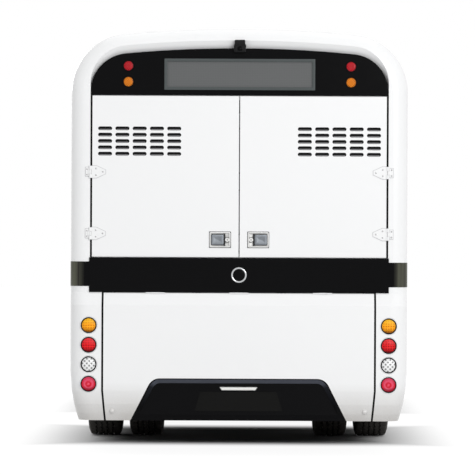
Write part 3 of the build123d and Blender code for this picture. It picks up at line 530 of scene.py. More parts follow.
def seam_group():
    """One on thin upright lines at an even pitch along Y, below a height."""
    tree, given, made = new_group(
        "panel_seams", (("Start", "Float"), ("Pitch", "Float", 1.5), ("Half Width", "Float", 0.004),
                        ("Top", "Float", 1.2)),
        (("Mask", "Float"),),
    )
    parts = axes(tree)
    along = maths(tree, "SUBTRACT", parts["Y"], given.outputs["Start"])
    near = maths(tree, "PINGPONG", along, maths(tree, "MULTIPLY", given.outputs["Pitch"], 0.5))
    line = maths(tree, "LESS_THAN", near, given.outputs["Half Width"])
    below = maths(tree, "LESS_THAN", parts["Z"], given.outputs["Top"])
    tree.links.new(maths(tree, "MULTIPLY", line, below), made.inputs["Mask"])


def surround_group():
    """One inside a rounded rectangle over X and Z, nought outside."""
    tree, given, made = new_group(
        "screen_surround", (("Half X", "Float"), ("Half Z", "Float"), ("Middle Z", "Float"),
                            ("Corner", "Float")),
        (("Mask", "Float"),),
    )
    parts = axes(tree)
    over = []
    for axis, half in (("X", "Half X"), ("Z", "Half Z")):
        value = parts[axis]
        if axis == "Z":
            value = maths(tree, "SUBTRACT", value, given.outputs["Middle Z"])
        inner = maths(tree, "SUBTRACT", given.outputs[half], given.outputs["Corner"])
        past = maths(tree, "MAXIMUM", maths(tree, "SUBTRACT", maths(tree, "ABSOLUTE", value), inner), 0.0)
        over.append(maths(tree, "POWER", past, 2.0))
    reach = maths(tree, "SQRT", maths(tree, "ADD", *over))
    tree.links.new(maths(tree, "LESS_THAN", reach, given.outputs["Corner"]), made.inputs["Mask"])


def ring_group():
    """Soft rings round a middle over X, taken on both sides alike, and Z."""
    tree, given, made = new_group(
        "ring_pattern", (("Middle X", "Float"), ("Middle Z", "Float"), ("Pitch", "Float", 0.03)),
        (("Mask", "Float"),)
    )
    parts = axes(tree)
    x = maths(tree, "SUBTRACT", maths(tree, "ABSOLUTE", parts["X"]), given.outputs["Middle X"])
    z = maths(tree, "SUBTRACT", parts["Z"], given.outputs["Middle Z"])
    reach = maths(tree, "SQRT",
                  maths(tree, "ADD", maths(tree, "MULTIPLY", x, x), maths(tree, "MULTIPLY", z, z)))
    turn = maths(tree, "MULTIPLY", maths(tree, "DIVIDE", reach, given.outputs["Pitch"]), 2 * math.pi)
    tree.links.new(maths(tree, "MULTIPLY_ADD", maths(tree, "COSINE", turn), 0.5, 0.5), made.inputs["Mask"])


def painted_reflection_group():
    """Painted reflection on the rounded corners: upright streaks, nought on the flat back and along the
    sides.
    """
    tree, given, made = new_group(
        "corner_painted_reflections", (("X From", "Float"), ("X To", "Float"), ("Y From", "Float"), ("Y To", "Float")),
        (("Mask", "Float"), ("Streak", "Float")),
    )
    parts = axes(tree)
    across = ranged(tree, maths(tree, "ABSOLUTE", parts["X"]), given.outputs["X From"],
                    given.outputs["X To"])
    along = ranged(tree, parts["Y"], given.outputs["Y To"], given.outputs["Y From"])
    tree.links.new(maths(tree, "MULTIPLY", across, along), made.inputs["Mask"])
    place = node(tree, "ShaderNodeTexCoord").outputs["Object"]
    drawn = node(tree, "ShaderNodeVectorMath", {0: place, 1: (34.0, 9.0, 0.8)},
                 operation="MULTIPLY").outputs[0]
    noise = node(tree, "ShaderNodeTexNoise", {"Vector": drawn, "Scale": 1.0, "Detail": 3.0}).outputs[0]
    tree.links.new(ranged(tree, noise, 0.35, 0.68), made.inputs["Streak"])


def shade_group():
    """How far up and how far down a point lies on a round lens, as shares of its radius; nought beyond
    the lens."""
    tree, given, made = new_group(
        "lens_shade", (("Middle Z", "Float"), ("Radius", "Float", 0.05)),
        (("Low", "Float"), ("Top", "Float"))
    )
    parts = axes(tree)
    rise = maths(tree, "SUBTRACT", parts["Z"], given.outputs["Middle Z"])
    share = maths(tree, "DIVIDE", rise, given.outputs["Radius"])
    near = maths(tree, "LESS_THAN", maths(tree, "ABSOLUTE", share), 1.1)
    for label, start, end in (("Low", -0.30, -0.88), ("Top", 0.05, 0.85)):
        reach = ranged(tree, share, start, end)
        tree.links.new(maths(tree, "MULTIPLY", reach, near), made.inputs[label])


def shaded(tree, colour, middle, bright, dark):
    """A lens colour with a painted highlight towards the lens's top and painted shade towards its foot."""
    shade = use(tree, "lens_shade", {"Middle Z": middle, "Radius": LAMP_R})
    lit = mixed(tree, maths(tree, "MULTIPLY", shade["Top"], 0.7), colour, rgba(bright))
    return mixed(tree, maths(tree, "MULTIPLY", shade["Low"], 0.9), lit, rgba(dark))


def rgba(colour):
    """A colour with full alpha."""
    return (*colour, 1.0)


def finish(name, colour, rough, metallic=0.0, coat=0.0, specular=0.5, mottle=0.05, scale=40.0, dust=0.0,
           bump=0.0, alpha=1.0, dust_top=0.9):
    """A material from the shared grain, kept in FINISHES. Returns its tree and the socket of its colour."""
    mat = bpy.data.materials.new(name)
    mat.use_nodes = True
    tree = mat.node_tree
    shader = tree.nodes["Principled BSDF"]
    grain = node(tree, "ShaderNodeGroup", node_tree=bpy.data.node_groups["finish_grain"])
    values = {"Colour": rgba(colour), "Roughness": rough, "Mottle": mottle, "Scale": scale, "Dust": dust,
              "Dust Top": dust_top}
    for key, value in values.items():
        grain.inputs[key].default_value = value
    tree.links.new(grain.outputs["Colour"], shader.inputs["Base Color"])
    tree.links.new(grain.outputs["Roughness"], shader.inputs["Roughness"])
    shader.inputs["Metallic"].default_value = metallic
    shader.inputs["Coat Weight"].default_value = coat
    shader.inputs["Coat Roughness"].default_value = 0.05
    shader.inputs["Specular IOR Level"].default_value = specular
    shader.inputs["Alpha"].default_value = alpha
    if bump:
        bumps = node(tree, "ShaderNodeBump",
                     {"Height": grain.outputs["Height"], "Distance": bump, "Strength": 0.6})
        tree.links.new(bumps.outputs[0], shader.inputs["Normal"])
    FINISHES[name] = mat
    return tree, grain.outputs["Colour"]


def recolour(tree, colour):
    """Give a finish another colour than its grain's."""
    tree.links.new(colour, tree.nodes["Principled BSDF"].inputs["Base Color"])


def make_finishes():
    """Every finish by the name of its slot, and those that only new pieces use."""
    for make_group in (grain_group, lattice_group, box_group, seam_group, surround_group, ring_group,
                       painted_reflection_group, shade_group):
        make_group()
    tone = colours()
    white = dict(rough=0.32, coat=0.5, specular=0.4, mottle=0.012, scale=260.0, dust=0.10, bump=0.00003,
                 dust_top=0.75)
    finish("body_paint", tone.paint, **white)
    # Rear paint: a strong grey-beige darkening towards the foot of the rear face, painted shade where it
    # tucks under.
    finish("rear_paint", tone.paint, **{**white, "dust": 0.80, "dust_top": 0.54})
    tree, grain = finish("side_paint", tone.paint, **white)
    band = in_box(tree, PANES[0].y - 0.05, FRONT_CAP_Y + 0.01, PANES[0].z - 0.045, PANES[1].z + 0.045)
    seams = use(tree, "panel_seams",
                {"Start": PANES[0].y - 0.035, "Pitch": 1.554, "Top": PANES[0].z - 0.05})
    joint = in_box(tree, -FAR, FAR, PANES[1].z + 0.120, PANES[1].z + 0.126)
    lines = maths(tree, "MAXIMUM", seams[0], joint)
    lined = mixed(tree, lines, grain, LINE_GREY)
    recolour(tree, mixed(tree, band, lined, rgba(tone.black)))
    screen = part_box("windscreen")
    tree, grain = finish("front_paint", tone.paint, **white)
    surround = use(tree, "screen_surround",
                   {"Half X": screen[1].x + 0.05, "Half Z": (screen[1].z - screen[0].z) / 2 + 0.05,
                    "Middle Z": (screen[1].z + screen[0].z) / 2, "Corner": 0.165})
    edge = in_box(tree, FRONT_CAP_Y - 0.1, FRONT_CAP_Y + 0.005, 0.0, 4.0)
    lined = mixed(tree, edge, grain, LINE_GREY)
    recolour(tree, mixed(tree, surround[0], lined, rgba(tone.black)))
    tree, grain = finish("bumper_paint", tone.paint, **white)
    edge = in_box(tree, -FAR, FAR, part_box("front_bumper")[1].z - 0.008, 4.0)
    recolour(tree, mixed(tree, edge, grain, (0.03, 0.03, 0.03, 1)))
    finish("door_paint", (0.012, 0.012, 0.013), 0.35, coat=0.3, scale=120.0, bump=0.00004)
    finish("black_gloss", tone.black, 0.14, specular=0.06, mottle=0.10, scale=14.0)
    tree, grain = finish("band_black", tone.black, 0.14, specular=0.06, mottle=0.10, scale=14.0)
    # Painted reflection: greenish upright streaks on the band's rounded corners.
    corner = use(tree, "corner_painted_reflections",
                 {"X From": SIDE_X - 0.105, "X To": SIDE_X - 0.055, "Y From": REAR_FACE + 0.16,
                  "Y To": REAR_FACE + 0.42})
    shine = mixed(tree, corner["Streak"], (0.030, 0.028, 0.025, 1), (0.105, 0.108, 0.080, 1))
    band = mixed(tree, corner["Mask"], grain, shine)
    under = in_box(tree, -FAR, FAR, 0.0, BAND_FOOT)
    recolour(tree, mixed(tree, under, band, rgba(tone.paint)))
    finish("black_plastic", (0.006, 0.006, 0.0065), 0.46, specular=0.12, mottle=0.12, scale=380.0,
           bump=0.00012)
    tree, grain = finish("tray_black", (0.0025, 0.0025, 0.003), 0.38, specular=0.05, mottle=0.12,
                         scale=90.0)
    # Painted highlight: pale blue-grey on the down-facing bevel along the top of the recess.
    geometry = node(tree, "ShaderNodeNewGeometry").outputs["Normal"]
    bevel_highlight = ranged(tree, node(tree, "ShaderNodeSeparateXYZ", {0: geometry}).outputs["Z"], -0.30, -0.62)
    upper = ranged(tree, axes(tree)["Z"], 0.36, 0.50)
    pad = in_box(tree, REAR_Y + 0.0286, REAR_Y + 0.0294, 0.30, 0.48)
    tray = mixed(tree, pad, grain, (0.0060, 0.0060, 0.0058, 1))
    tray = mixed(tree, maths(tree, "MULTIPLY", bevel_highlight, upper), tray, (0.085, 0.092, 0.115, 1))
    recolour(tree, tray)
    finish("glass", (0.015, 0.020, 0.021), 0.03, specular=0.5, mottle=0.05, scale=3.0, alpha=0.66)
    finish("screen_glass", (0.020, 0.026, 0.026), 0.03, specular=0.5, mottle=0.05, scale=3.0, alpha=0.42)
    finish("display", (0.13, 0.135, 0.135), 0.30, specular=0.3, mottle=0.04, scale=30.0)
    # Lens rows: name, colour, darker small-lens colour (painted shade), dot colour, painted highlight
    # colour, painted shade colour.
    lens_rows = (("amber", tone.amber, (0.80, 0.23, 0.010), (0.58, 0.13, 0.006), (1.0, 0.60, 0.03),
                  (0.13, 0.024, 0.001)),
                 ("red", tone.red, (0.52, 0.012, 0.022), (0.26, 0.002, 0.005), (0.86, 0.055, 0.065),
                  (0.060, 0.0, 0.001)))
    for name, colour, small, dark, bright, foot in lens_rows:
        tree, grain = finish(name, colour, 0.22, specular=0.12, mottle=0.9, scale=70.0, bump=0.0008)
        dots = use(tree, "dot_lattice", {"Pitch": 0.0185})
        dotted = mixed(tree, dots["Square"], grain, rgba(dark))
        # Painted highlight and painted shade over the dotted lens colour.
        recolour(tree, shaded(tree, dotted, LAMP_ROWS[name], bright, foot))
        # Small lenses by the display: darker copies of the lens colours, painted shade for lamps in the dark
        # rear glass.
        tree, grain = finish(f"{name}_small", small, 0.2, specular=0.15, mottle=0.6,
                             scale=90.0, bump=0.0008)
        dots = use(tree, "dot_lattice", {"Pitch": 0.0185})
        recolour(tree, mixed(tree, dots["Diamond"], grain, rgba([v / 6 for v in dark])))
    tree, grain = finish("reflector", (0.66, 0.010, 0.028), 0.22, specular=0.14, mottle=0.30,
                         scale=130.0, bump=0.0004)
    rounds = use(tree, "ring_pattern",
                 {"Middle X": LAMP_X, "Middle Z": LAMP_ROWS["reflector"], "Pitch": 0.031})
    ringed = mixed(tree, rounds[0], grain, (0.80, 0.085, 0.16, 1))
    # Painted highlight at the reflector's top and painted shade at its foot.
    recolour(tree, shaded(tree, ringed, LAMP_ROWS["reflector"], (0.66, 0.07, 0.15), (0.15, 0.004, 0.014)))
    tree, grain = finish("clear", (0.90, 0.91, 0.91), 0.14, coat=0.3, mottle=0.10, scale=120.0,
                         bump=0.0004)
    dots = use(tree, "dot_lattice", {"Pitch": 0.034})
    recolour(tree, mixed(tree, dots["Diamond"], grain, (0.02, 0.02, 0.02, 1)))
    finish("lamp_glass", (0.85, 0.88, 0.90), 0.03, coat=1.0, mottle=0.02, alpha=0.22)
    finish("chrome", (0.52, 0.53, 0.54), 0.16, metallic=1.0, mottle=0.10, scale=90.0, bump=0.00004)
    finish("satin_chrome", (0.20, 0.215, 0.235), 0.38, metallic=1.0, mottle=0.35, scale=60.0, bump=0.0001)
    finish("latch_zinc", (0.74, 0.74, 0.73), 0.34, metallic=0.25, mottle=0.25, scale=70.0, bump=0.0001)
    finish("frame_steel", (0.035, 0.036, 0.038), 0.55, metallic=0.3, mottle=0.2, scale=50.0, dust=0.5,
           bump=0.0003)
    finish("cast", (0.05, 0.05, 0.052), 0.6, metallic=0.4, mottle=0.2, scale=90.0, dust=0.5, bump=0.0005)
    finish("rubber", (0.013, 0.013, 0.014), 0.62, specular=0.3, mottle=0.15, scale=140.0, bump=0.0002)
    finish("tyre", (0.0125, 0.0123, 0.012), 0.72, specular=0.22, mottle=0.25, scale=110.0, dust=0.13,
           bump=0.0004)
    finish("rim", (0.55, 0.56, 0.57), 0.38, metallic=0.35, mottle=0.08, scale=60.0, dust=0.35, bump=0.0001)
    finish("nut_steel", (0.42, 0.42, 0.42), 0.32, metallic=1.0, mottle=0.2, scale=160.0)
    finish("floor", (0.105, 0.112, 0.125), 0.6, mottle=0.35, scale=420.0, bump=0.0002)
    finish("box_steel", (0.30, 0.31, 0.33), 0.5, mottle=0.12, scale=60.0, bump=0.0001)
    finish("seat", tone.seat, 0.85, specular=0.15, mottle=0.45, scale=330.0, bump=0.0008)
    finish("seat_shell", (0.20, 0.215, 0.235), 0.42, mottle=0.08, scale=280.0, bump=0.0001)
    finish("rail_yellow", (0.85, 0.47, 0.02), 0.28, coat=0.4, mottle=0.06, scale=60.0)
    finish("cockpit", (0.030, 0.031, 0.034), 0.55, specular=0.3, mottle=0.15, scale=420.0, bump=0.0003)
    finish("alloy", (0.50, 0.51, 0.52), 0.4, metallic=0.8, mottle=0.1, scale=60.0, bump=0.0001)
    finish("unit_paint", (0.78, 0.785, 0.79), 0.42, mottle=0.03, scale=160.0, dust=0.0, bump=0.00006)
    finish("clear_strip", (0.80, 0.80, 0.78), 0.25, coat=0.6, mottle=0.12, scale=45.0)
    finish("display_border", (0.076, 0.086, 0.087), 0.3, specular=0.08, mottle=0.06, scale=30.0)
    finish("mirror_silver", (0.80, 0.82, 0.83), 0.02, metallic=1.0, mottle=0.0, scale=10.0)
    # Grey of the hinge outlines, painted shade.
    finish("outline_shade_grey", (0.56, 0.56, 0.57), 0.6, mottle=0.1, scale=60.0)
    # Grey of the louvre blades: painted shade on what is a white flap.
    finish("louvre_blade", (0.22, 0.22, 0.225), 0.5, specular=0.2, mottle=0.2, scale=40.0)
    # Black for the gap seals and fan wells, and painted shade inside the louvre slots.
    finish("louvre_dark", (0.0045, 0.0045, 0.005), 0.7, specular=0.1, mottle=0.1, scale=60.0)
    tree, grain = finish("led_panel", (0.135, 0.138, 0.138), 0.35, specular=0.08, mottle=0.05,
                         scale=25.0)
    dots = use(tree, "dot_lattice", {"Pitch": 0.0125})
    gaps = mixed(tree, dots["Square"], (0.115, 0.119, 0.121, 1), grain)
    recolour(tree, gaps)


OWN_FINISH = {"side_wall_left": "side_paint", "side_wall_right": "side_paint",
              "bumper_insert": "tray_black", "front_cap": "front_paint", "rear_band": "band_black",
              "front_bumper": "bumper_paint", "battery_pack": "frame_steel"}


class BUS_OT_finishes(bpy.types.Operator):
    """Make every finish and put it on the CAD nodes that stay"""

    bl_idname = "bus.finishes"
    bl_label = "Finishes"

    def execute(self, context):
        make_finishes()
        for name, obj in NODES.items():
            slots = [mat.name.split(".")[0] for mat in obj.data.materials]
            obj.data.materials.clear()
            for slot in slots:
                obj.data.materials.append(FINISHES[OWN_FINISH.get(name, slot)])
        return {"FINISHED"}


# Wheels


def tyre(centre, axle):
    """Rubber ring: a section of outward place and radius carried round the axle. In the tread the radius
    falls in each groove, whose line waves with the turn, and the shoulders are notched at an even pitch."""
    grooves = np.array([-0.066, -0.022, 0.022, 0.066])
    columns = (grooves[:, None] + [-0.0085, -0.006, 0.006, 0.0085]).ravel()
    tread = np.concatenate([[-0.108], columns, [0.108]])
    cut = np.concatenate([[0], np.tile([0, 1, 1, 0], len(grooves)), [0]])
    wall = np.array([(0.118, 0.4705), (0.1265, 0.455), (0.131, 0.438), (0.1335, 0.436), (0.1375, 0.41),
                     (0.138, 0.385), (0.1355, 0.352), (0.129, 0.322), (0.124, 0.3195), (0.1195, 0.303),
                     (0.112, 0.2902)])
    out = np.concatenate([-wall[::-1, 0], tread, wall[:, 0]])
    radius = np.concatenate([wall[::-1, 1], TYRE_R - 0.003 * (tread / 0.108) ** 2, wall[:, 1]])
    cut = np.concatenate([np.zeros(len(wall)), cut, np.zeros(len(wall))])
    steps = 384
    turn = np.arange(steps) * 2 * math.pi / steps
    in_tread = np.abs(out) < 0.1
    place = out[:, None] + 0.004 * in_tread[:, None] * np.sin(48 * turn)
    notch = (np.abs(out) > 0.1) & (np.abs(out) < 0.128)
    depth = cut[:, None] * sizes().groove + 0.007 * notch[:, None] * (np.sin(48 * turn + 0.4) > 0.45)
    radius = radius[:, None] - depth
    points = np.stack([place + centre, axle + radius * np.cos(turn), TYRE_R + radius * np.sin(turn)], -1)
    return grid(points, wrap_rows=True, wrap_cols=True)


def wheel_disc(disc, web, hub, hand, centre, axle):
    """Pressed wheel: flange, web and hub turned round the axle; the web sinks in an oval at each
    hand hole."""
    radii = np.linspace(web[0][1], web[-1][1], 22)
    places = np.interp(-radii, [-r for _, r in web], [o for o, _ in web])
    profile = np.concatenate([disc[:-1], np.column_stack([places, radii]), hub])
    steps = 240
    turn = np.arange(steps) * 2 * math.pi / steps
    pitch = 2 * math.pi / HAND_HOLES
    offset = (turn + pitch / 2) % pitch - pitch / 2
    oval = ((profile[:, 1, None] - 0.218) / 0.021) ** 2 + (offset * 0.218 / 0.031) ** 2
    first = len(disc) - 1
    web_row = (np.arange(len(profile)) >= first) & (np.arange(len(profile)) < first + len(radii))
    sink = 0.020 * web_row[:, None] * np.clip((1.25 - oval) / 0.45, 0, 1)
    out = profile[:, 0, None] - sink
    radius = profile[:, 1, None]
    points = np.stack(
        [hand * (centre + out), axle + radius * np.cos(turn), TYRE_R + radius * np.sin(turn)], -1
    )
    return grid(points, wrap_rows=True, wrap_cols=True)


def wheel_nuts(out, hand, centre, axle):
    """Ten hexagon nuts with round washers on the bolt circle, at half a hand hole's pitch."""
    nut = [(0, 0), (0, 0.0165), (0.017, 0.0165), (0.021, 0.013), (0.030, 0.010), (0.030, 0)]
    washer = [(-0.004, 0), (-0.004, 0.020), (0.002, 0.020), (0.003, 0.0172), (0.003, 0)]
    middle = (hand * (centre + out), axle, TYRE_R)
    one = joined(*(turned([(hand * a, r) for a, r in rows], steps, middle, "x")
                   for rows, steps in ((nut, 6), (washer, 20))))
    turn = (np.arange(HAND_HOLES) + 0.5) * 2 * math.pi / HAND_HOLES
    ring = BOLT_CIRCLE * np.column_stack([0 * turn, np.cos(turn), np.sin(turn)])
    return copies(one, ring)


class BUS_OT_tyres(bpy.types.Operator):
    """Tyres with a road tread, single in front and twin behind"""

    bl_idname = "bus.tyres"
    bl_label = "Tyres"

    def execute(self, context):
        for side, hand in SIDES:
            piece(f"front_tyre_{side}", tyre(hand * FRONT_TRACK, FRONT_AXLE), "tyre", f"wheel_front_{side}",
                  (f"tyre_front_{side}",), angle=30)
            twin = joined(tyre(hand * REAR_OUT, REAR_AXLE), tyre(hand * REAR_IN, REAR_AXLE))
            piece(f"rear_tyres_{side}", twin, "tyre", f"wheel_rear_{side}", (f"tyres_rear_{side}",),
                  angle=30)
        return {"FINISHED"}


class BUS_OT_wheels(bpy.types.Operator):
    """Wheel discs with hand holes, hubs and nuts"""

    bl_idname = "bus.wheels"
    bl_label = "Wheel discs"

    def execute(self, context):
        rows = (("front", FRONT_DISC, FRONT_WEB, FRONT_HUB, FRONT_TRACK, FRONT_AXLE, "rim_front"),
                ("rear", REAR_DISC, REAR_WEB, REAR_HUB, REAR_OUT, REAR_AXLE, "rims_rear"))
        for side, hand in SIDES:
            for end, disc, web, hub, centre, axle, cad in rows:
                body = f"wheel_{end}_{side}"
                shape = wheel_disc(disc, web, hub, hand, centre, axle)
                piece(f"wheel_disc_{end}_{side}", shape, "rim", body, (f"{cad}_{side}",), angle=32)
                piece(f"wheel_nuts_{end}_{side}", wheel_nuts(web[-1][0], hand, centre, axle), "nut_steel",
                      body)
        return {"FINISHED"}


# Rear face


def lens(x, z, floor, radius, height, rise, ripple):
    """Domed lens over a flat back: height plus the rise times one less the squared share of the
    radius, with a ripple."""
    share = np.concatenate([[0, 1], np.linspace(1, 0, 34)])
    angle = np.arange(56) * 2 * math.pi / 56
    out = np.concatenate([[0, 0], height + rise * (1 - share[2:] ** 2)])
    r = radius * share[:, None]
    points = np.stack([x + r * np.sin(angle), floor - out[:, None] + 0 * angle, z + r * np.cos(angle)], -1)
    points[2:, :, 1] -= ripple(share[2:, None], points[2:, :, 0] - x, points[2:, :, 2] - z)
    return grid(points, wrap_cols=True)


def prisms(share, x, z):
    """Ripple of small raised blocks that fades at the rim."""
    return 0.0009 * np.sin(x * 720) * np.sin(z * 720) * (share < 0.9)


def rings(share, x, z):
    """Ripple of rings round the middle with a raised boss."""
    return 0.0012 * np.cos(share * 22) * (share < 0.93) + 0.002 * (share < 0.28)


def lamp_bezel(x, z, floor, radius, depth):
    """A round rim with a groove inside it."""
    rows = [(0, 0.80), (depth - 0.012, 0.80), (depth - 0.012, 0.960), (depth - 0.002, 0.965),
            (depth - 0.0005, 0.972), (depth - 0.0005, 0.992), (depth - 0.002, 1.0), (0, 1.0)]
    return turned([(-a, radius * r) for a, r in rows], 56, (x, floor, z), "y", loop=True)


def lamp_seat(x, z, radius):
    """A flat ring that fills the pocket round a lamp, with its edges rounded off."""
    rows = [(0.022, 0.0003), (0.0040, 0.0003), (0.0034, 0.0012), (0.0036, 0.0044), (0.0048, 0.0056),
            (0.022, 0.0056)]
    return turned([(a, radius + r) for a, r in rows], 56, (x, REAR_Y, z), "y", loop=True)


class BUS_OT_rear_lamps(bpy.types.Operator):
    """Round rear lamps in their bezels and seats, and the small lamps beside the display"""

    bl_idname = "bus.rear_lamps"
    bl_label = "Rear lamps"

    def execute(self, context):
        depth = LAMP_FLOOR - REAR_Y
        rise = sizes().lens_rise
        height = depth - rise - 0.004
        mark_floor = REAR_FACE + 0.006
        for colour in ("amber", "red", "clear"):
            large = lens(LAMP_X, LAMP_ROWS[colour], LAMP_FLOOR, LENS_R, height, rise, prisms)
            piece(f"lenses_{colour}", both_sides(large), colour, replaces=(f"lamps_{colour}",), angle=60)
            if colour in MARK_ROWS:
                small = lens(MARK_X, MARK_ROWS[colour], mark_floor, MARK_R * 0.93, 0.007, 0.006, prisms)
                piece(f"small_lenses_{colour}", both_sides(small), f"{colour}_small", "body",
                      angle=60)
        disc = lens(LAMP_X, LAMP_ROWS["reflector"], LAMP_FLOOR, LENS_R, height, rise, rings)
        piece("reflectors", both_sides(disc), "reflector", "body", angle=60)
        bezels = [lamp_bezel(LAMP_X, z, LAMP_FLOOR, BEZEL_R, depth) for z in LAMP_ROWS.values()]
        bezels += [lamp_bezel(MARK_X, z, mark_floor, MARK_R, 0.0135) for z in MARK_ROWS.values()]
        piece("lamp_bezels", both_sides(joined(*bezels)), "black_plastic")
        seats = [lamp_seat(LAMP_X, z, BEZEL_R) for z in LAMP_ROWS.values()]
        piece("lamp_seats", both_sides(joined(*seats)), "rear_paint")
        return {"FINISHED"}


class BUS_OT_louvres(bpy.types.Operator):
    """A black cup in every louvre slot of the rear doors, painted shade for the dark inside, and a sloping
    grey blade, painted shade on the slot's white flap
    """

    bl_idname = "bus.louvres"
    bl_label = "Louvres"

    def execute(self, context):
        count = np.arange(LOUVRE_COUNT) - (LOUVRE_COUNT - 1) / 2
        across, up = np.meshgrid(count * LOUVRE_PITCH[0], count * LOUVRE_PITCH[1])
        half = (LOUVRE_HALF[0] - 0.0004, LOUVRE_HALF[1] - 0.0004)
        # Painted shade: a black cup lines each slot where its inside would be in shade.
        shade_cup = pressed(half, half[1], [(0, -0.0246), (0, -0.0078)], "rear", (0, REAR_FACE, 0), steps=7)
        slope = [(REAR_FACE + 0.0022, -0.0128), (REAR_FACE + 0.0045, -0.0098),
                 (REAR_FACE + 0.0076, -0.0052)]
        # The blade's grey is painted shade on the white flap under each slot.
        blade = strip(
            slope,
            [(-0.0425, -0.0006), (0.0425, -0.0006), (0.0425, 0.0006), (-0.0425, 0.0006)],
        )
        for side, hand in SIDES:
            places = np.column_stack(
                [hand * LOUVRE_AT[0] + across.ravel(), 0 * across.ravel(), LOUVRE_AT[1] + up.ravel()]
            )
            piece(f"louvre_shade_cups_{side}", copies(shade_cup, places), "louvre_dark", f"rear_door_{side}")
            piece(f"louvre_blades_{side}", copies(blade, places), "louvre_blade", f"rear_door_{side}")
        return {"FINISHED"}


class BUS_OT_latches(bpy.types.Operator):
    """Recessed paddle latches of the rear doors: pan, paddle, lock and the gap between them"""

    bl_idname = "bus.latches"
    bl_label = "Door latches"

    def execute(self, context):
        low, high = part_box("door_latch_right")
        half = ((high.x - low.x) / 2, (high.z - low.z) / 2)
        for side, hand in SIDES:
            body = f"rear_door_{side}"
            middle = np.array([hand * LATCH_X, REAR_FACE, LATCH_Z])
            lock_at, slot_at, paddle_at = (middle + (hand * x, 0, 0) for x in (-0.0535, -0.0325, 0.019))
            edge = pressed(half, 0.010, [(0, -0.020), (0, 0.0015), (0.0035, 0.0015), (0.0035, -0.020)],
                           "rear", middle, shut=False)
            inside = (half[0] - 0.0036, half[1] - 0.0036)
            pan = pressed(inside, 0.009,
                          [(0, -0.020), (0, 0.003), (0.002, 0.0055), (0.006, 0.006), (0.0085, 0.004),
                           (0.0100, -0.010), (0.013, -0.012)], "rear", middle)
            lock = turned([(0.010, 0), (0.010, 0.0165), (-0.002, 0.0165), (-0.004, 0.0145), (-0.004, 0.009),
                           (-0.0025, 0.0085), (-0.0025, 0)], 32, lock_at, "y")
            paddle = pressed((0.0465, 0.0385), 0.009,
                             [(0, -0.0115), (0, 0.0005), (0.002, 0.003), (0.010, 0.0042),
                              (0.022, 0.0032), (0.034, 0.0012)], "rear", paddle_at)
            slit = pressed((0.0062, 0.0445), 0.003, [(0, -0.0118), (0, 0.0005)], "rear", slot_at)
            round_lock = turned([(0.0095, 0.0168), (0.0095, 0.0200), (-0.0005, 0.0200), (-0.0005, 0.0168)],
                                32, lock_at, "y", loop=True)
            key = pressed((0.002, 0.007), 0.0015, [(0, 0.0), (0, 0.0030)], "rear", lock_at)
            under = pressed((0.0490, 0.0412), 0.010, [(0, -0.0119), (0, -0.0085)], "rear", paddle_at)
            piece(f"latch_pan_{side}", joined(pan, lock), "latch_zinc", body,
                  (f"door_latch_{side}",))
            piece(f"latch_paddle_{side}", paddle, "satin_chrome", body)
            piece(f"latch_gap_{side}", joined(edge, slit, round_lock, key, under), "rubber", body)
        return {"FINISHED"}


class BUS_OT_gap_seals(bpy.types.Operator):
    """Black rubber in the gaps beside the rear doors and the hatch"""

    bl_idname = "bus.gap_seals"
    bl_label = "Gap seals"

    def execute(self, context):
        low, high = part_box("rear_door_right")
        beside = pressed((0.0068, (high.z - low.z) / 2 + 0.003), 0.003,
                         [(0, -0.040), (0, -0.014), (0.003, -0.012)], "rear",
                         (OPENING_X - 0.0075, REAR_FACE, (low.z + high.z) / 2))
        piece("door_gap_seals", both_sides(beside), "louvre_dark", "body")
        hatch_low, hatch_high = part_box("rear_hatch")
        half, foot = hatch_high.x, hatch_high.x - 0.025
        z = np.array([hatch_low.z + 0.004, 0.310, 0.380, HATCH_BEND, 0.620, 1.112, hatch_high.z])
        skin = np.array([0.055, 0.032, 0.012, 0.002, 0.0, 0.0, 0.042]) + 0.012
        edge = np.interp(z, [0.200, HATCH_BEND, 2.0], [foot, half, half])
        section = np.array([(0.0006, 0.0), (0.0144, 0.0), (0.0144, 0.032), (0.0006, 0.032)])
        points = np.stack([edge[:, None] + section[:, 0], REAR_Y + skin[:, None] + section[:, 1],
                           z[:, None] + 0 * section[:, 0]], -1)
        piece("hatch_gap_seals", both_sides(capped(points)), "louvre_dark", "body")
        return {"FINISHED"}


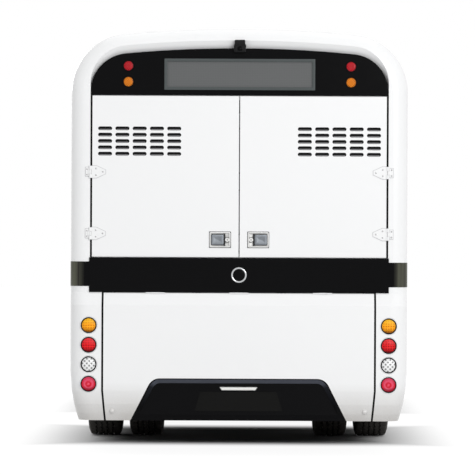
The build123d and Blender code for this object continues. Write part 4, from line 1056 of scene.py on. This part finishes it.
class BUS_OT_rear_bay(bpy.types.Operator):
    """Battery modules behind the rear doors, and the doors' inner frames and louvre trays"""

    bl_idname = "bus.rear_bay"
    bl_label = "Rear bay"

    def execute(self, context):
        low, high = BATTERY
        wide, tall = (high.x - low.x) / MODULE_COLUMNS, (high.z - low.z) / MODULE_ROWS
        half = (wide / 2 - 0.008, tall / 2 - 0.008)
        module = pressed(half, 0.012,
                         [(0, -0.0008), (0, 0.010), (0.004, 0.014), (0.030, 0.014), (0.036, 0.010),
                          (0.050, 0.010)], "rear", (0, low.y, 0))
        grip = tube(curve([(-0.075, low.y - 0.009, 0.10), (-0.066, low.y - 0.034, 0.10),
                           (0.066, low.y - 0.034, 0.10), (0.075, low.y - 0.009, 0.10)], 24), 0.006)
        bolts = [dome((a * (half[0] - 0.017), low.y - 0.014, b * (half[1] - 0.017)), "rear", 0.008, 0.004)
                 for a in (-1, 1) for b in (-1, 1)]
        across, up = np.meshgrid(low.x + wide * (np.arange(MODULE_COLUMNS) + 0.5),
                                 low.z + tall * (np.arange(MODULE_ROWS) + 0.5))
        places = np.column_stack([across.ravel(), 0 * across.ravel(), up.ravel()])
        piece("battery_modules", copies(module, places), "alloy")
        piece("battery_grips", copies(joined(grip, *bolts), places), "black_plastic")
        for side, hand in SIDES:
            low, high = DOOR_BOX[side]
            middle = ((low.x + high.x) / 2 - hand * 0.006, high.y, (low.z + high.z) / 2)
            half = ((high.x - low.x) / 2 - 0.060, (high.z - low.z) / 2 - 0.040)
            ring = pressed(half, 0.03,
                           [(0, -0.0005), (0, 0.009), (0.004, 0.012), (0.046, 0.012), (0.050, 0.009),
                            (0.050, -0.0005)], "front", middle, shut=False)
            rail = pressed((half[0] - 0.048, 0.025), 0.004,
                           [(0, -0.0005), (0, 0.008), (0.004, 0.011), (0.010, 0.011)], "front",
                           (middle[0], middle[1], 2.02))
            tray = pressed((0.335, 0.135), 0.02, [(0, -0.0005), (0, 0.012), (0.006, 0.016), (0.020, 0.016)],
                           "front", (hand * LOUVRE_AT[0], middle[1], LOUVRE_AT[1]))
            piece(f"door_inner_frame_{side}", joined(ring, rail), "rear_paint", f"rear_door_{side}")
            piece(f"louvre_tray_{side}", tray, "black_plastic", f"rear_door_{side}")
        return {"FINISHED"}


class BUS_OT_rear_details(bpy.types.Operator):
    """Hinge screws, grey outlines round the hinge leaves and straps as painted shade, hatch knobs, plate
    lamp and a plain ring on the band
    """

    bl_idname = "bus.rear_details"
    bl_label = "Rear details"

    def execute(self, context):
        head = sizes().screw
        strap_y = REAR_FACE - 0.006
        leaf = [(OPENING_X + 0.005, -0.037), (OPENING_X + 0.038, -0.037), (OPENING_X + 0.038, 0.037),
                (OPENING_X + 0.005, 0.037)]
        strap = [(OPENING_X - 0.016, -0.049), (OPENING_X - 0.016, 0.049), (OPENING_X - 0.046, 0.049),
                 (OPENING_X - 0.117, 0.0165), (OPENING_X - 0.117, -0.0165), (OPENING_X - 0.046, -0.049)]
        # Painted shade: thin grey plates under the hinge leaves and straps, whose edges draw their shadow
        # outlines.
        shade_outlines = [plate(leaf, (-0.0005, 0.001), "rear", (0, REAR_FACE, z)) for z in HINGE_ROWS]
        piece("hinge_shade_outlines_fixed", both_sides(joined(*shade_outlines)), "outline_shade_grey", "body")
        for side, hand in SIDES:
            shade_outlines = [plate([(hand * x, z) for x, z in strap], (-0.0005, 0.001), "rear", (0, REAR_FACE, z))
                     for z in HINGE_ROWS]
            piece(f"hinge_shade_outlines_{side}", joined(*shade_outlines), "outline_shade_grey", f"rear_door_{side}")
        fixed = [dome((SCREW_FIXED_X, strap_y, z + dz), "rear", head, 0.003)
                 for z in HINGE_ROWS for dz in (-0.021, 0.021)]
        piece("hinge_screws_fixed", both_sides(joined(*fixed)), "nut_steel", "body")
        for side, hand in SIDES:
            moving = [dome((hand * x, strap_y, z + dz), "rear", head, 0.003)
                      for z in HINGE_ROWS for x, dz in SCREW_PLACES]
            piece(f"hinge_screws_{side}", joined(*moving), "nut_steel", f"rear_door_{side}")
        knobs = both_sides(dome((KNOB_AT[0], REAR_Y + 0.023, KNOB_AT[1]), "rear", 0.019, 0.012))
        piece("hatch_knobs", knobs, "rear_paint", "rear_hatch")
        at = (0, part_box("rear_band")[0].y + 0.0045, BAND_RING_Z)
        ring = turned([(0, 0.044), (0, 0.058), (-0.004, 0.058), (-0.0065, 0.0555), (-0.0075, 0.052),
                       (-0.0065, 0.048), (-0.004, 0.0445)], 64, at, "y", loop=True)
        disc = turned([(0, 0), (0, 0.0438), (-0.0025, 0.0438), (-0.0042, 0.030), (-0.005, 0)], 64, at, "y")
        piece("band_ring", ring, "chrome", angle=60)
        piece("band_ring_middle", disc, "black_gloss", angle=60)
        low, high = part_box("plate_lamp")
        half = ((high.x - low.x) / 2, (high.z - low.z) / 2)
        middle = ((low.x + high.x) / 2, high.y, (low.z + high.z) / 2)
        depth = high.y - low.y
        points, quads = pressed(half, 0.006,
                                [(0, 0), (0, depth * 0.45), (0.003, depth * 0.85), (0.006, depth),
                                 (0.011, depth)], "rear", middle)
        slant = 0.94 + 0.06 * (points[:, 2] - middle[2]) / half[1]
        strip_lamp = (points * np.column_stack([slant, 1 + 0 * slant, 1 + 0 * slant]), quads)
        piece("plate_lamp_strip", strip_lamp, "clear_strip", "rear_hatch", ("plate_lamp",))
        return {"FINISHED"}


class BUS_OT_rear_camera(bpy.types.Operator):
    """Camera box over the rear glass with a hood and a lens"""

    bl_idname = "bus.rear_camera"
    bl_label = "Rear camera"

    def execute(self, context):
        low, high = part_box("rear_camera")
        half = ((high.x - low.x) / 2, (high.z - low.z) / 2)
        middle = np.array([(low.x + high.x) / 2, high.y, (low.z + high.z) / 2])
        depth = high.y - low.y
        box = pressed(half, 0.012,
                      [(0, 0), (0, depth * 0.80), (0.003, depth * 0.92), (0.007, depth * 0.955),
                       (0.012, depth * 0.955), (0.014, depth * 0.87), (0.018, depth * 0.87)],
                      "rear", middle)
        eye = turned([(0, 0), (0, 0.019), (-0.004, 0.019), (-0.005, 0.016), (-0.003, 0.014),
                      (-0.006, 0.008), (-0.007, 0)], 32, middle - (0, depth * 0.86, 0.004), "y")
        bracket = pressed((half[0] * 0.84, 0.017), 0.006,
                          [(0, -0.004), (0, depth * 0.62), (0.003, depth * 0.70), (0.008, depth * 0.70)],
                          "rear", (0, REAR_FACE, high.z + 0.014))
        piece("camera_box", joined(box, bracket), "black_plastic", replaces=("rear_camera",))
        piece("camera_eye", eye, "black_gloss")
        return {"FINISHED"}


class BUS_OT_displays(bpy.types.Operator):
    """Dot displays behind the rear glass and behind the windscreen"""

    bl_idname = "bus.displays"
    bl_label = "Displays"

    def execute(self, context):
        front_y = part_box("destination_displays")[1].y
        border = pressed((0.5585, 0.1157), 0.004,
                         [(0, -0.0002), (0, 0.0006), (0.003, 0.0012), (0.018, 0.0012), (0.0215, 0.0),
                          (0.0215, -0.006), (0.0145, -0.006), (0.0145, -0.0002)],
                         "rear", (0, REAR_FACE, DISPLAY_Z), shut=False)
        face = pressed((0.5437, 0.1147), 0.003, [(0, 0), (0, 0.004)], "rear",
                       (0, REAR_FACE + 0.012, DISPLAY_Z))
        piece("rear_display_face", face, "led_panel", "body", ("destination_displays",))
        piece("rear_display_border", border, "display_border", "body")
        box = pressed((0.80, 0.12), 0.015,
                      [(0, 0), (0, 0.036), (0.004, 0.040), (0.020, 0.040), (0.024, 0.034),
                       (0.030, 0.034)], "front", (0, front_y - 0.040, FRONT_DISPLAY_Z))
        hangers = [pressed((0.04, 0.02), 0.006, [(0, 0), (0, 0.26)], "top", (x, front_y - 0.020, 2.80))
                   for x in (-0.5, 0.5)]
        piece("front_display", joined(box, *hangers), "black_plastic", "body")
        front = pressed((0.768, 0.088), 0.004, [(0, 0), (0, 0.0012)], "front",
                        (0, front_y - 0.0062, FRONT_DISPLAY_Z))
        piece("front_display_face", front, "led_panel", "body")
        return {"FINISHED"}


# Sides


class BUS_OT_window_gaskets(bpy.types.Operator):
    """Rubber gaskets round the side windows and a bar across each for its opening top light"""

    bl_idname = "bus.window_gaskets"
    bl_label = "Window gaskets"

    def execute(self, context):
        proud = sizes().gasket
        section = [(-0.014, 0.0002), (-0.012, proud), (0.004, proud + 0.001), (0.020, 0.0005),
                   (0.020, -0.0008), (0.0, -0.0008)]
        low, high = PANES[0].z, PANES[1].z
        parts = []
        for hand, rows in WINDOW_ROWS.items():
            way = "right" if hand > 0 else "left"
            for start, end in rows:
                half = ((end - start) / 2, (high - low) / 2)
                middle = (hand * SIDE_X, (start + end) / 2, (low + high) / 2)
                parts.append(pressed(half, WINDOW_R, section, way, middle, steps=9, shut=False))
                bar_at = (hand * (SIDE_X - 0.001), (start + end) / 2, high - 0.36)
                parts.append(pressed((half[0] - 0.02, 0.014), 0.004, [(0, 0), (0, 0.0025), (0.003, 0.004)],
                                     way, bar_at))
        piece("window_gaskets", joined(*parts), "rubber")
        return {"FINISHED"}


def side_x(z):
    """Half width of the skirt at a height: the wall, tucked in below on an arc."""
    return SIDE_X - TUCK_R + np.sqrt(TUCK_R**2 - np.clip(TUCK_TOP - z, 0, None) ** 2)


class BUS_OT_arch_lips(bpy.types.Operator):
    """Rubber lips round the wheel arches"""

    bl_idname = "bus.arch_lips"
    bl_label = "Arch lips"

    def execute(self, context):
        angle = np.linspace(0, math.pi, 48)
        ends = [-0.20, -0.14, -0.07, 0]
        lips = []
        for axle in (FRONT_AXLE, REAR_AXLE):
            y = np.concatenate([[ARCH_R] * 4, ARCH_R * np.cos(angle[1:-1]), [-ARCH_R] * 4])
            z = TYRE_R + np.concatenate([ends, ARCH_R * np.sin(angle[1:-1]), ends[::-1]])
            lips.append(tube(np.column_stack([side_x(z) - 0.003, axle + y, z]), 0.0085))
        piece("arch_lips", both_sides(joined(*lips)), "rubber")
        return {"FINISHED"}


class BUS_OT_side_markers(bpy.types.Operator):
    """Small amber lamps along the skirts"""

    bl_idname = "bus.side_markers"
    bl_label = "Side markers"

    def execute(self, context):
        bases, lenses = [], []
        for hand, rows in MARKER_ROWS.items():
            way = "right" if hand > 0 else "left"
            for y in rows:
                at = (hand * side_x(MARKER_Z), y, MARKER_Z)
                bases.append(pressed((0.060, 0.024), 0.009,
                                     [(0, -0.001), (0, 0.003), (0.002, 0.004), (0.006, 0.004)], way, at))
                lenses.append(pressed((0.053, 0.017), 0.006,
                                      [(0, 0.003), (0, 0.006), (0.002, 0.0085), (0.008, 0.010)], way, at))
        piece("side_marker_bases", joined(*bases), "black_plastic")
        piece("side_marker_lenses", joined(*lenses), "amber")
        return {"FINISHED"}


class BUS_OT_door_leaves(bpy.types.Operator):
    """Passenger door leaves: a frame with its lugs, a pane and a grab rail"""

    bl_idname = "bus.door_leaves"
    bl_label = "Passenger doors"

    def execute(self, context):
        for doorway in DOORWAYS:
            for leaf in LEAVES:
                body = f"door_leaf_{doorway}_{leaf}"
                low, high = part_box(body)
                half = ((high.y - low.y) / 2, (high.z - low.z) / 2)
                middle = (0, (low.y + high.y) / 2, (low.z + high.z) / 2)
                inner = high.x - 0.040
                window = (half[0] - 0.070, half[1] - 0.100)
                shell = [(0, 0), (0, 0.036), (0.004, 0.040), (0.040, 0.040), (0.060, 0.0385),
                         (0.0695, 0.034), (0.0695, 0)]
                rim = pressed(half, 0.012, shell, "right", np.array(middle) + (inner, 0, 0), steps=6,
                              shut=False)
                foot, head = (pressed((half[0] - 0.066, tall), 0.004,
                                      [(0, 0.002), (0, 0.037), (0.003, 0.0385)], "right",
                                      (inner, middle[1], z))
                              for tall, z in ((0.054, low.z + 0.055), (0.044, high.z - 0.045)))
                lugs = [pressed((0.022, 0.012), 0.004, [(0, 0), (0, 0.066)], "right",
                                (low.x, (low.y + high.y) / 2, z))
                        for z in (low.z + 0.012, high.z - 0.012)]
                rail = tube(curve([(inner - 0.004, middle[1] - 0.16, 0.95),
                                   (inner - 0.05, middle[1] - 0.16, 1.0),
                                   (inner - 0.05, middle[1] - 0.16, 1.5),
                                   (inner - 0.004, middle[1] - 0.16, 1.55)], 20), 0.012)
                piece(f"leaf_frame_{doorway}_{leaf}", joined(rim, foot, head, *lugs), "door_paint", body,
                      (body,))
                piece(f"leaf_rail_{doorway}_{leaf}", rail, "rail_yellow", body)
                pane = pressed(window, 0.010, [(0, 0.0125), (0, 0.023), (0.001, 0.024)], "right",
                               (inner, middle[1], middle[2] + 0.005))
                piece(f"leaf_pane_{doorway}_{leaf}", pane, "glass", body)
        return {"FINISHED"}


# Front end


class BUS_OT_mirrors(bpy.types.Operator):
    """Outside mirrors: bent arms, rounded heads and their glass"""

    bl_idname = "bus.mirrors"
    bl_label = "Mirrors"

    def execute(self, context):
        low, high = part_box("mirrors")
        head_x, head_z = high.x - 0.125, low.z + 0.21
        back = high.y - 0.090
        head = pressed((0.125, 0.21), 0.055,
                       [(0.006, 0), (0.0, 0.006), (0, 0.040), (0.008, 0.064), (0.026, 0.080),
                        (0.055, 0.088), (0.085, 0.090)], "front",
                       (head_x, back, head_z), steps=9)
        arm = tube(curve([(SIDE_X - 0.004, FRONT_CAP_Y + 0.04, MIRROR_ARM_Z),
                          (SIDE_X + 0.045, FRONT_CAP_Y + 0.045, MIRROR_ARM_Z),
                          (SIDE_X + 0.062, FRONT_CAP_Y + 0.12, MIRROR_ARM_Z),
                          (SIDE_X + 0.064, back - 0.06, 2.495), (SIDE_X + 0.075, back + 0.03, 2.47)], 26),
                   0.016)
        foot = dome((SIDE_X, FRONT_CAP_Y + 0.04, MIRROR_ARM_Z), "right", 0.032, 0.012)
        glass = pressed((0.112, 0.197), 0.045, [(0, -0.004), (0, 0.0012), (0.002, 0.002)], "rear",
                        (head_x, back + 0.0005, head_z), steps=9)
        piece("mirror_heads", both_sides(joined(head, arm, foot)), "black_plastic", replaces=("mirrors",))
        piece("mirror_glass", both_sides(glass), "mirror_silver", "body")
        return {"FINISHED"}


class BUS_OT_wipers(bpy.types.Operator):
    """Windscreen wipers at rest: pivot, sprung arm, and blade"""

    bl_idname = "bus.wipers"
    bl_label = "Wipers"

    def execute(self, context):
        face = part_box("wipers")[0].y + 0.0014
        parts = []
        for pivot in WIPER_PIVOTS:
            parts.append(turned([(0, 0), (0, 0.022), (0.016, 0.022), (0.022, 0.016), (0.024, 0)], 24,
                                (pivot, face, WIPER_Z), "y"))
            parts.append(tube(curve([(pivot, face + 0.019, WIPER_Z), (pivot + 0.2, face + 0.021, 0.933),
                                     (pivot + 0.40, face + 0.019, 0.940),
                                     (pivot + 0.46, face + 0.013, 0.949)], 20), 0.0055))
            parts.append(tube(curve([(pivot + 0.10, face + 0.010, 0.952),
                                     (pivot + 0.46, face + 0.0115, 0.951),
                                     (pivot + 0.80, face + 0.008, 0.950)], 24), 0.0045, sides=8))
        piece("wiper_arms", joined(*parts), "black_plastic", replaces=("wipers",))
        return {"FINISHED"}


class BUS_OT_headlamps(bpy.types.Operator):
    """Reflector bowls, a turn lamp and a dark housing behind each headlamp lens"""

    bl_idname = "bus.headlamps"
    bl_label = "Headlamps"

    def execute(self, context):
        low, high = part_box("headlamps")
        middle_x, middle_z = 0.930, (low.z + high.z) / 2
        wall_y = low.y - 0.012
        housing = pressed((0.165, 0.080), 0.055, [(0, -0.07), (0, 0.0), (0.006, 0.004), (0.012, -0.05)],
                          "front", (middle_x, wall_y, middle_z), steps=8)
        bowls = []
        for x in (middle_x - 0.080, middle_x + 0.070):
            share = np.linspace(0, 1, 12)
            profile = [(0.004 - 0.040 * (1 - s * s), 0.062 * s) for s in share]
            profile += [(0.006, 0.066), (0.0, 0.069), (-0.045, 0.069), (-0.045, 0)]
            bowls.append(turned(profile, 40, (x, wall_y, middle_z), "y"))
            bowls.append(turned([(-0.04, 0), (-0.04, 0.012), (-0.012, 0.011), (-0.006, 0.006), (-0.005, 0)],
                                20, (x, wall_y, middle_z), "y"))
        turn_lamp = pressed((0.120, 0.0075), 0.006, [(0, -0.05), (0, 0.0), (0.002, 0.003), (0.005, 0.004)],
                            "front", (middle_x, wall_y, middle_z - 0.069), steps=5)
        piece("front_turn_lamps", both_sides(turn_lamp), "amber")
        piece("headlamp_housings", both_sides(housing), "black_plastic")
        piece("headlamp_bowls", both_sides(joined(*bowls)), "chrome", angle=60)
        NODES["headlamps"].data.materials.clear()
        NODES["headlamps"].data.materials.append(FINISHES["lamp_glass"])
        return {"FINISHED"}


class BUS_OT_roof_fans(bpy.types.Operator):
    """Fan guards and dark wells of the roof unit"""

    bl_idname = "bus.roof_fans"
    bl_label = "Roof unit fans"

    def execute(self, context):
        low, high = ROOF_UNIT
        top = high.z - 0.008
        middle = (low.y + high.y) / 2
        parts = []
        rows = (middle - FAN_PITCH, middle, middle + FAN_PITCH)
        for y in rows:
            for radius in np.linspace(0.05, 0.27, 8):
                ring = np.linspace(0, 2 * math.pi, 9)[:-1]
                bead = [(0.0045 * math.sin(a) + 0.002, radius + 0.0045 * math.cos(a)) for a in ring]
                parts.append(turned(bead, 48, (0, y, top), "z", loop=True))
            for k in range(6):
                turn = k * math.pi / 6
                end = 0.272 * np.array([math.cos(turn), math.sin(turn), 0])
                line = np.linspace(-1, 1, 4)[:, None] * end + (0, y, top + 0.002)
                parts.append(tube(line, 0.004, sides=6))
        piece("fan_guards", joined(*parts), "black_plastic")
        disc = [turned([(0.0003, 0), (0.0003, 0.2795), (0.0013, 0.2795), (0.0013, 0)], 64,
                       (0, y, high.z - 0.030), "z")
                for y in rows]
        piece("fan_wells", joined(*disc), "louvre_dark", "body")
        return {"FINISHED"}


# Cabin


def tilted(shape, angle, about):
    """The shape turned about an X line through a point in the YZ plane."""
    points, quads = shape
    c, s = math.cos(angle), math.sin(angle)
    y, z = points[:, 1] - about[0], points[:, 2] - about[1]
    return np.column_stack([points[:, 0], about[0] + c * y - s * z, about[1] + s * y + c * z]), quads


def seat_shell():
    """A moulded seat: a thin rounded section carried along the pan, the bend and the back."""
    path = curve([(0.480, -0.035), (0.300, -0.052), (0.140, -0.045), (0.085, 0.02), (0.062, 0.22),
                  (0.036, 0.44), (0.022, 0.63)], 40)
    section = rounded(0.198, 0.011, 0.0105, steps=4)
    return strip(path, section)


def cushion(half, corner, thick, way, centre):
    """A crowned pad: sides swell out from the seam, then the top rises on a half wave to the middle."""
    share = np.linspace(0, 1, 12)
    levels = [(0.006, 0), (0.0, thick * 0.35), (0.004, thick * 0.66)]
    reach = min(half) * 0.92
    levels += [(0.006 + (reach - 0.006) * s, thick * (0.74 + 0.26 * math.sin(s * math.pi / 2)))
               for s in share]
    return pressed(half, corner, levels, way, centre, steps=8)


def coordinates(mesh):
    """The points of a mesh as an array."""
    flat = np.empty(len(mesh.vertices) * 3, np.float32)
    mesh.vertices.foreach_get("co", flat)
    return flat.reshape(-1, 3).astype(float)


def swollen(half, corner, thick, cap):
    """A pad as cloth: a crowned form in even cells, blown up by pressure from inside. Each point moves by
    at most the cap, and the foot stays on the plane it rests on. Two sewn channels lie across the top."""
    scene = bpy.context.scene
    form = cushion((half[0] - cap / 2, half[1] - cap / 2), corner, thick - cap / 2, "top", (0, 0, 0))
    obj = bpy.data.objects.new("pad_work", mesh_of("pad_work", form))
    scene.collection.objects.link(obj)
    remesh = obj.modifiers.new("remesh", "REMESH")
    remesh.mode = "VOXEL"
    remesh.voxel_size = PAD_CELL
    mesh = bpy.data.meshes.new_from_object(obj.evaluated_get(bpy.context.evaluated_depsgraph_get()))
    obj.modifiers.clear()
    obj.data = mesh
    points = coordinates(mesh)
    corners = np.empty(len(mesh.loops), np.int32)
    mesh.loops.foreach_get("vertex_index", corners)
    cloth = obj.modifiers.new("cloth", "CLOTH")
    cloth.settings.use_pressure = True
    cloth.settings.uniform_pressure_force = PAD_PRESSURE
    cloth.settings.effector_weights.gravity = 0.0
    for number in range(1, PAD_FRAMES + 1):
        scene.frame_set(number)
    blown = coordinates(obj.evaluated_get(bpy.context.evaluated_depsgraph_get()).data)
    move = blown - points
    far = np.linalg.norm(move, axis=1, keepdims=True)
    points = points + move * np.minimum(1, cap / np.maximum(far, 1e-9))
    scene.frame_set(1)
    bpy.data.objects.remove(obj)
    share = np.clip(points[:, 2] / thick, 0, 1) ** 2
    lines = [np.exp(-(((points[:, 1] - k * half[1]) / 0.010) ** 2)) for k in (-0.36, 0.36)]
    points[:, 2] = np.maximum(points[:, 2] - 0.007 * share * np.maximum(*lines), 0)
    return points, corners.reshape(-1, 4)


def laid(pad, way, centre, angle):
    """A pad turned to face a way from a point, then tilted about it."""
    points, quads = pad
    placed = points @ np.array(WAYS[way], float) + np.asarray(centre, float)
    return tilted((placed, quads), angle, centre[1:])


class BUS_OT_seats(bpy.types.Operator):
    """Passenger seats: shells on pedestals, and cloth pads"""

    bl_idname = "bus.seats"
    bl_label = "Passenger seats"

    def execute(self, context):
        places = [(x, y, z + rise) for x, y, z, rise in SEAT_ROWS]
        shells = [copies(seat_shell(), places)]
        for x, y, z, rise in SEAT_ROWS:
            shells.append(pressed((0.038, 0.12), 0.03, [(0, 0), (0, rise - 0.055)], "top",
                                  (x, y + 0.27, z + 0.0005)))
        piece("seat_shells", joined(*shells), "seat_shell", "body", ("passenger_seats",))
        seat = laid(swollen((0.178, 0.165), 0.05, 0.052, 0.008), "top", (0, 0.318, -0.040), 0.05)
        back = laid(swollen((0.178, 0.255), 0.06, 0.046, 0.008), "front", (0, 0.058, 0.33), 0.105)
        for name, pad in (("seat_pads", seat), ("seat_back_pads", back)):
            piece(name, copies(pad, places), "seat", angle=75)
        return {"FINISHED"}


class BUS_OT_driver_place(bpy.types.Operator):
    """Driver's podium, dash, steering wheel and sprung seat"""

    bl_idname = "bus.driver_place"
    bl_label = "Driver's place"

    def execute(self, context):
        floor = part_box("driver_station")[0].z
        podium = pressed((0.485, 0.61), 0.04, [(0, 0.0005), (0, 0.180), (0.01, 0.190)], "top",
                         (-0.635, 4.03, floor))
        dash_path = curve([(4.760, 0.40), (4.720, 0.70), (4.600, 0.93), (4.660, 0.985), (4.800, 1.000),
                           (4.890, 0.94)], 40)
        dash = strip(dash_path, rounded(0.700, 0.022, 0.020, steps=5) + (-0.41, 0))
        panel = tilted(pressed((0.24, 0.085), 0.03,
                               [(0, -0.03), (0, 0.020), (0.012, 0.032), (0.02, 0.026), (0.03, 0.026)],
                               "rear", (DRIVER_X, 4.64, 1.0)), 0.5, (4.64, 1.0))
        ring = np.linspace(0, 2 * math.pi, 15)[:-1]
        bead = [(0.017 * math.sin(a), 0.215 + 0.017 * math.cos(a)) for a in ring]
        boss = [(-0.018, 0), (-0.018, 0.05), (0.004, 0.062), (0.016, 0.055), (0.02, 0)]
        wheel = joined(
            turned(bead, 64, (0, 0, 0), "z", loop=True),
            turned(boss, 32, (0, 0, 0), "z"),
            *(tube([(0.05 * math.cos(a), 0.05 * math.sin(a), 0),
                    (0.13 * math.cos(a), 0.13 * math.sin(a), -0.004),
                    (0.21 * math.cos(a), 0.21 * math.sin(a), 0)], 0.011)
              for a in (0.3, math.pi - 0.3, -math.pi / 2)),
        )
        wheel = tilted(wheel, 0.35, (0, 0))
        wheel = (wheel[0] + (DRIVER_X, 4.47, 1.12), wheel[1])
        column = tube(curve([(DRIVER_X, 4.62, 0.90), (DRIVER_X, 4.56, 0.98), (DRIVER_X, 4.475, 1.105)], 12),
                      0.028)
        base = pressed((0.14, 0.20), 0.03, [(0, 0), (0, 0.32)], "top", (DRIVER_X, 3.76, floor + 0.185))
        plates = [pressed((0.045, 0.11), 0.035, [(0, -0.004), (0, 0.004)], "right", (x, 3.555, 1.0))
                  for x in (-0.882, -0.518)]
        piece("driver_podium", joined(podium, base), "box_steel", "body", ("driver_station",))
        piece("driver_dash", joined(dash, panel, wheel, column, *plates), "cockpit")
        seat = laid(swollen((0.185, 0.26), 0.07, 0.13, 0.014), "top", (DRIVER_X, 3.77, floor + 0.51), 0.0)
        back = laid(swollen((0.175, 0.35), 0.08, 0.10, 0.014), "front", (DRIVER_X, 3.475, 1.33), 0.08)
        pads = piece("driver_seat_pads", joined(seat, back), "seat", angle=60)
        return {"FINISHED"}


# Stage


class BUS_OT_stage(bpy.types.Operator):
    """Pale floor with a painted shadow round the axles under the bus, even light, three soft lights and the
    camera
    """

    bl_idname = "bus.stage"
    bl_label = "Stage"

    def execute(self, context):
        scene = context.scene
        stage = scene.bus_stage
        scene.view_settings.view_transform = "Standard"
        mesh = bpy.data.meshes.new("stage_floor")
        corners = [(x * FLOOR_HALF, y * FLOOR_HALF, 0) for x, y in ((-1, -1), (1, -1), (1, 1), (-1, 1))]
        mesh.from_pydata(corners, [], [(0, 1, 2, 3)])
        floor = bpy.data.objects.new("stage_floor", mesh)
        scene.collection.objects.link(floor)
        mat = bpy.data.materials.new("pale_floor")
        mat.use_nodes = True
        tree = mat.node_tree
        shader = tree.nodes["Principled BSDF"]
        shader.inputs["Roughness"].default_value = 0.9
        shader.inputs["Specular IOR Level"].default_value = 0.1
        parts = axes(tree)
        away = [maths(tree, "ABSOLUTE", maths(tree, "SUBTRACT", parts["Y"], y))
                for y in (FRONT_AXLE, REAR_AXLE)]
        beyond = [maths(tree, "SUBTRACT", maths(tree, "ABSOLUTE", parts["X"]), SIDE_X),
                  maths(tree, "SUBTRACT", maths(tree, "MINIMUM", *away), SHADOW_POOL_REACH)]
        past = maths(tree, "MAXIMUM", *beyond)
        # Painted shadow: round each axle under the bus the floor's glow fades out and its colour darkens
        # towards near black.
        clear = ranged(tree, past, -0.15, 0.55, 0.0, 0.84, "SMOOTHSTEP")
        under = ranged(tree, past, -0.40, -0.05, 0.10, 0.66, "SMOOTHSTEP")
        tree.links.new(under, shader.inputs["Base Color"])
        glow = node(tree, "ShaderNodeEmission", {"Color": WHITE, "Strength": FLOOR_GLOW})
        lift = maths(tree, "MULTIPLY", seen_share(tree), clear)
        mix = node(tree, "ShaderNodeMixShader", {0: lift, 1: shader.outputs[0], 2: glow.outputs[0]})
        tree.links.new(mix.outputs[0], tree.nodes["Material Output"].inputs["Surface"])
        mesh.materials.append(mat)
        world = bpy.data.worlds.new("even_light")
        world.use_nodes = True
        scene.world = world
        tree = world.node_tree
        strength = maths(tree, "MULTIPLY_ADD", seen_share(tree), 1.0 - stage.sky, stage.sky)
        back = tree.nodes["Background"]
        back.inputs["Color"].default_value = WHITE
        tree.links.new(strength, back.inputs["Strength"])
        lights = (("key_light", stage.key, (6.5, REAR_Y - 15.0, 6.0),
                   (math.radians(76), 0, math.radians(23)), 9.0, 5.0),
                  ("top_light", 230.0, (0, 0, 12.0), (0, 0, 0), 12.0, 14.0),
                  ("front_light", 800.0, (-9.0, 17.0, 6.5),
                   (math.radians(-72), 0, math.radians(30)), 8.0, 5.0))
        for name, power, place, turn, wide, tall in lights:
            data = bpy.data.lights.new(name, "AREA")
            data.shape = "RECTANGLE"
            data.size, data.size_y = wide, tall
            data.energy = power
            lamp = bpy.data.objects.new(name, data)
            lamp.location, lamp.rotation_euler = place, turn
            scene.collection.objects.link(lamp)
        data = bpy.data.cameras.new("camera")
        data.sensor_width = SENSOR_WIDTH
        data.lens = stage.lens
        data.clip_end = 300.0
        camera = bpy.data.objects.new("camera", data)
        camera.location = (CAMERA_X, REAR_FACE - stage.distance, stage.height)
        camera.rotation_euler = (math.pi / 2, stage.roll, 0)
        scene.collection.objects.link(camera)
        scene.camera = camera
        return {"FINISHED"}


OPERATORS = (
    BUS_OT_finishes, BUS_OT_tyres, BUS_OT_wheels, BUS_OT_rear_lamps, BUS_OT_louvres, BUS_OT_latches,
    BUS_OT_gap_seals, BUS_OT_rear_bay, BUS_OT_rear_details, BUS_OT_rear_camera, BUS_OT_displays,
    BUS_OT_window_gaskets, BUS_OT_arch_lips, BUS_OT_side_markers, BUS_OT_door_leaves,
    BUS_OT_mirrors, BUS_OT_wipers, BUS_OT_headlamps, BUS_OT_roof_fans, BUS_OT_seats, BUS_OT_driver_place,
    BUS_OT_stage,
)


class BUS_PT_panel(bpy.types.Panel):
    """Sidebar panel that lists the pieces and their settings"""

    bl_label = "City Bus"
    bl_idname = "BUS_PT_panel"
    bl_space_type = "VIEW_3D"
    bl_region_type = "UI"
    bl_category = "City Bus"

    def draw(self, context):
        for group in (context.scene.bus_colours, context.scene.bus_sizes, context.scene.bus_stage):
            for key in group.__annotations__:
                self.layout.prop(group, key)
        for operator in OPERATORS:
            self.layout.operator(operator.bl_idname)


GROUPS = (("bus_colours", BusColours), ("bus_sizes", BusSizes), ("bus_stage", BusStage))


def register():
    """Add the classes and the scene's settings."""
    for name, group in GROUPS:
        bpy.utils.register_class(group)
        setattr(bpy.types.Scene, name, bpy.props.PointerProperty(type=group))
    for operator in OPERATORS:
        bpy.utils.register_class(operator)
    bpy.utils.register_class(BUS_PT_panel)


def unregister():
    """Take the classes and the settings away again."""
    bpy.utils.unregister_class(BUS_PT_panel)
    for operator in reversed(OPERATORS):
        bpy.utils.unregister_class(operator)
    for name, group in reversed(GROUPS):
        delattr(bpy.types.Scene, name)
        bpy.utils.unregister_class(group)


def main():
    """Make every piece in order."""
    register()
    for operator in OPERATORS:
        space, call = operator.bl_idname.split(".")
        getattr(getattr(bpy.ops, space), call)()


if __name__ == "__main__":
    main()
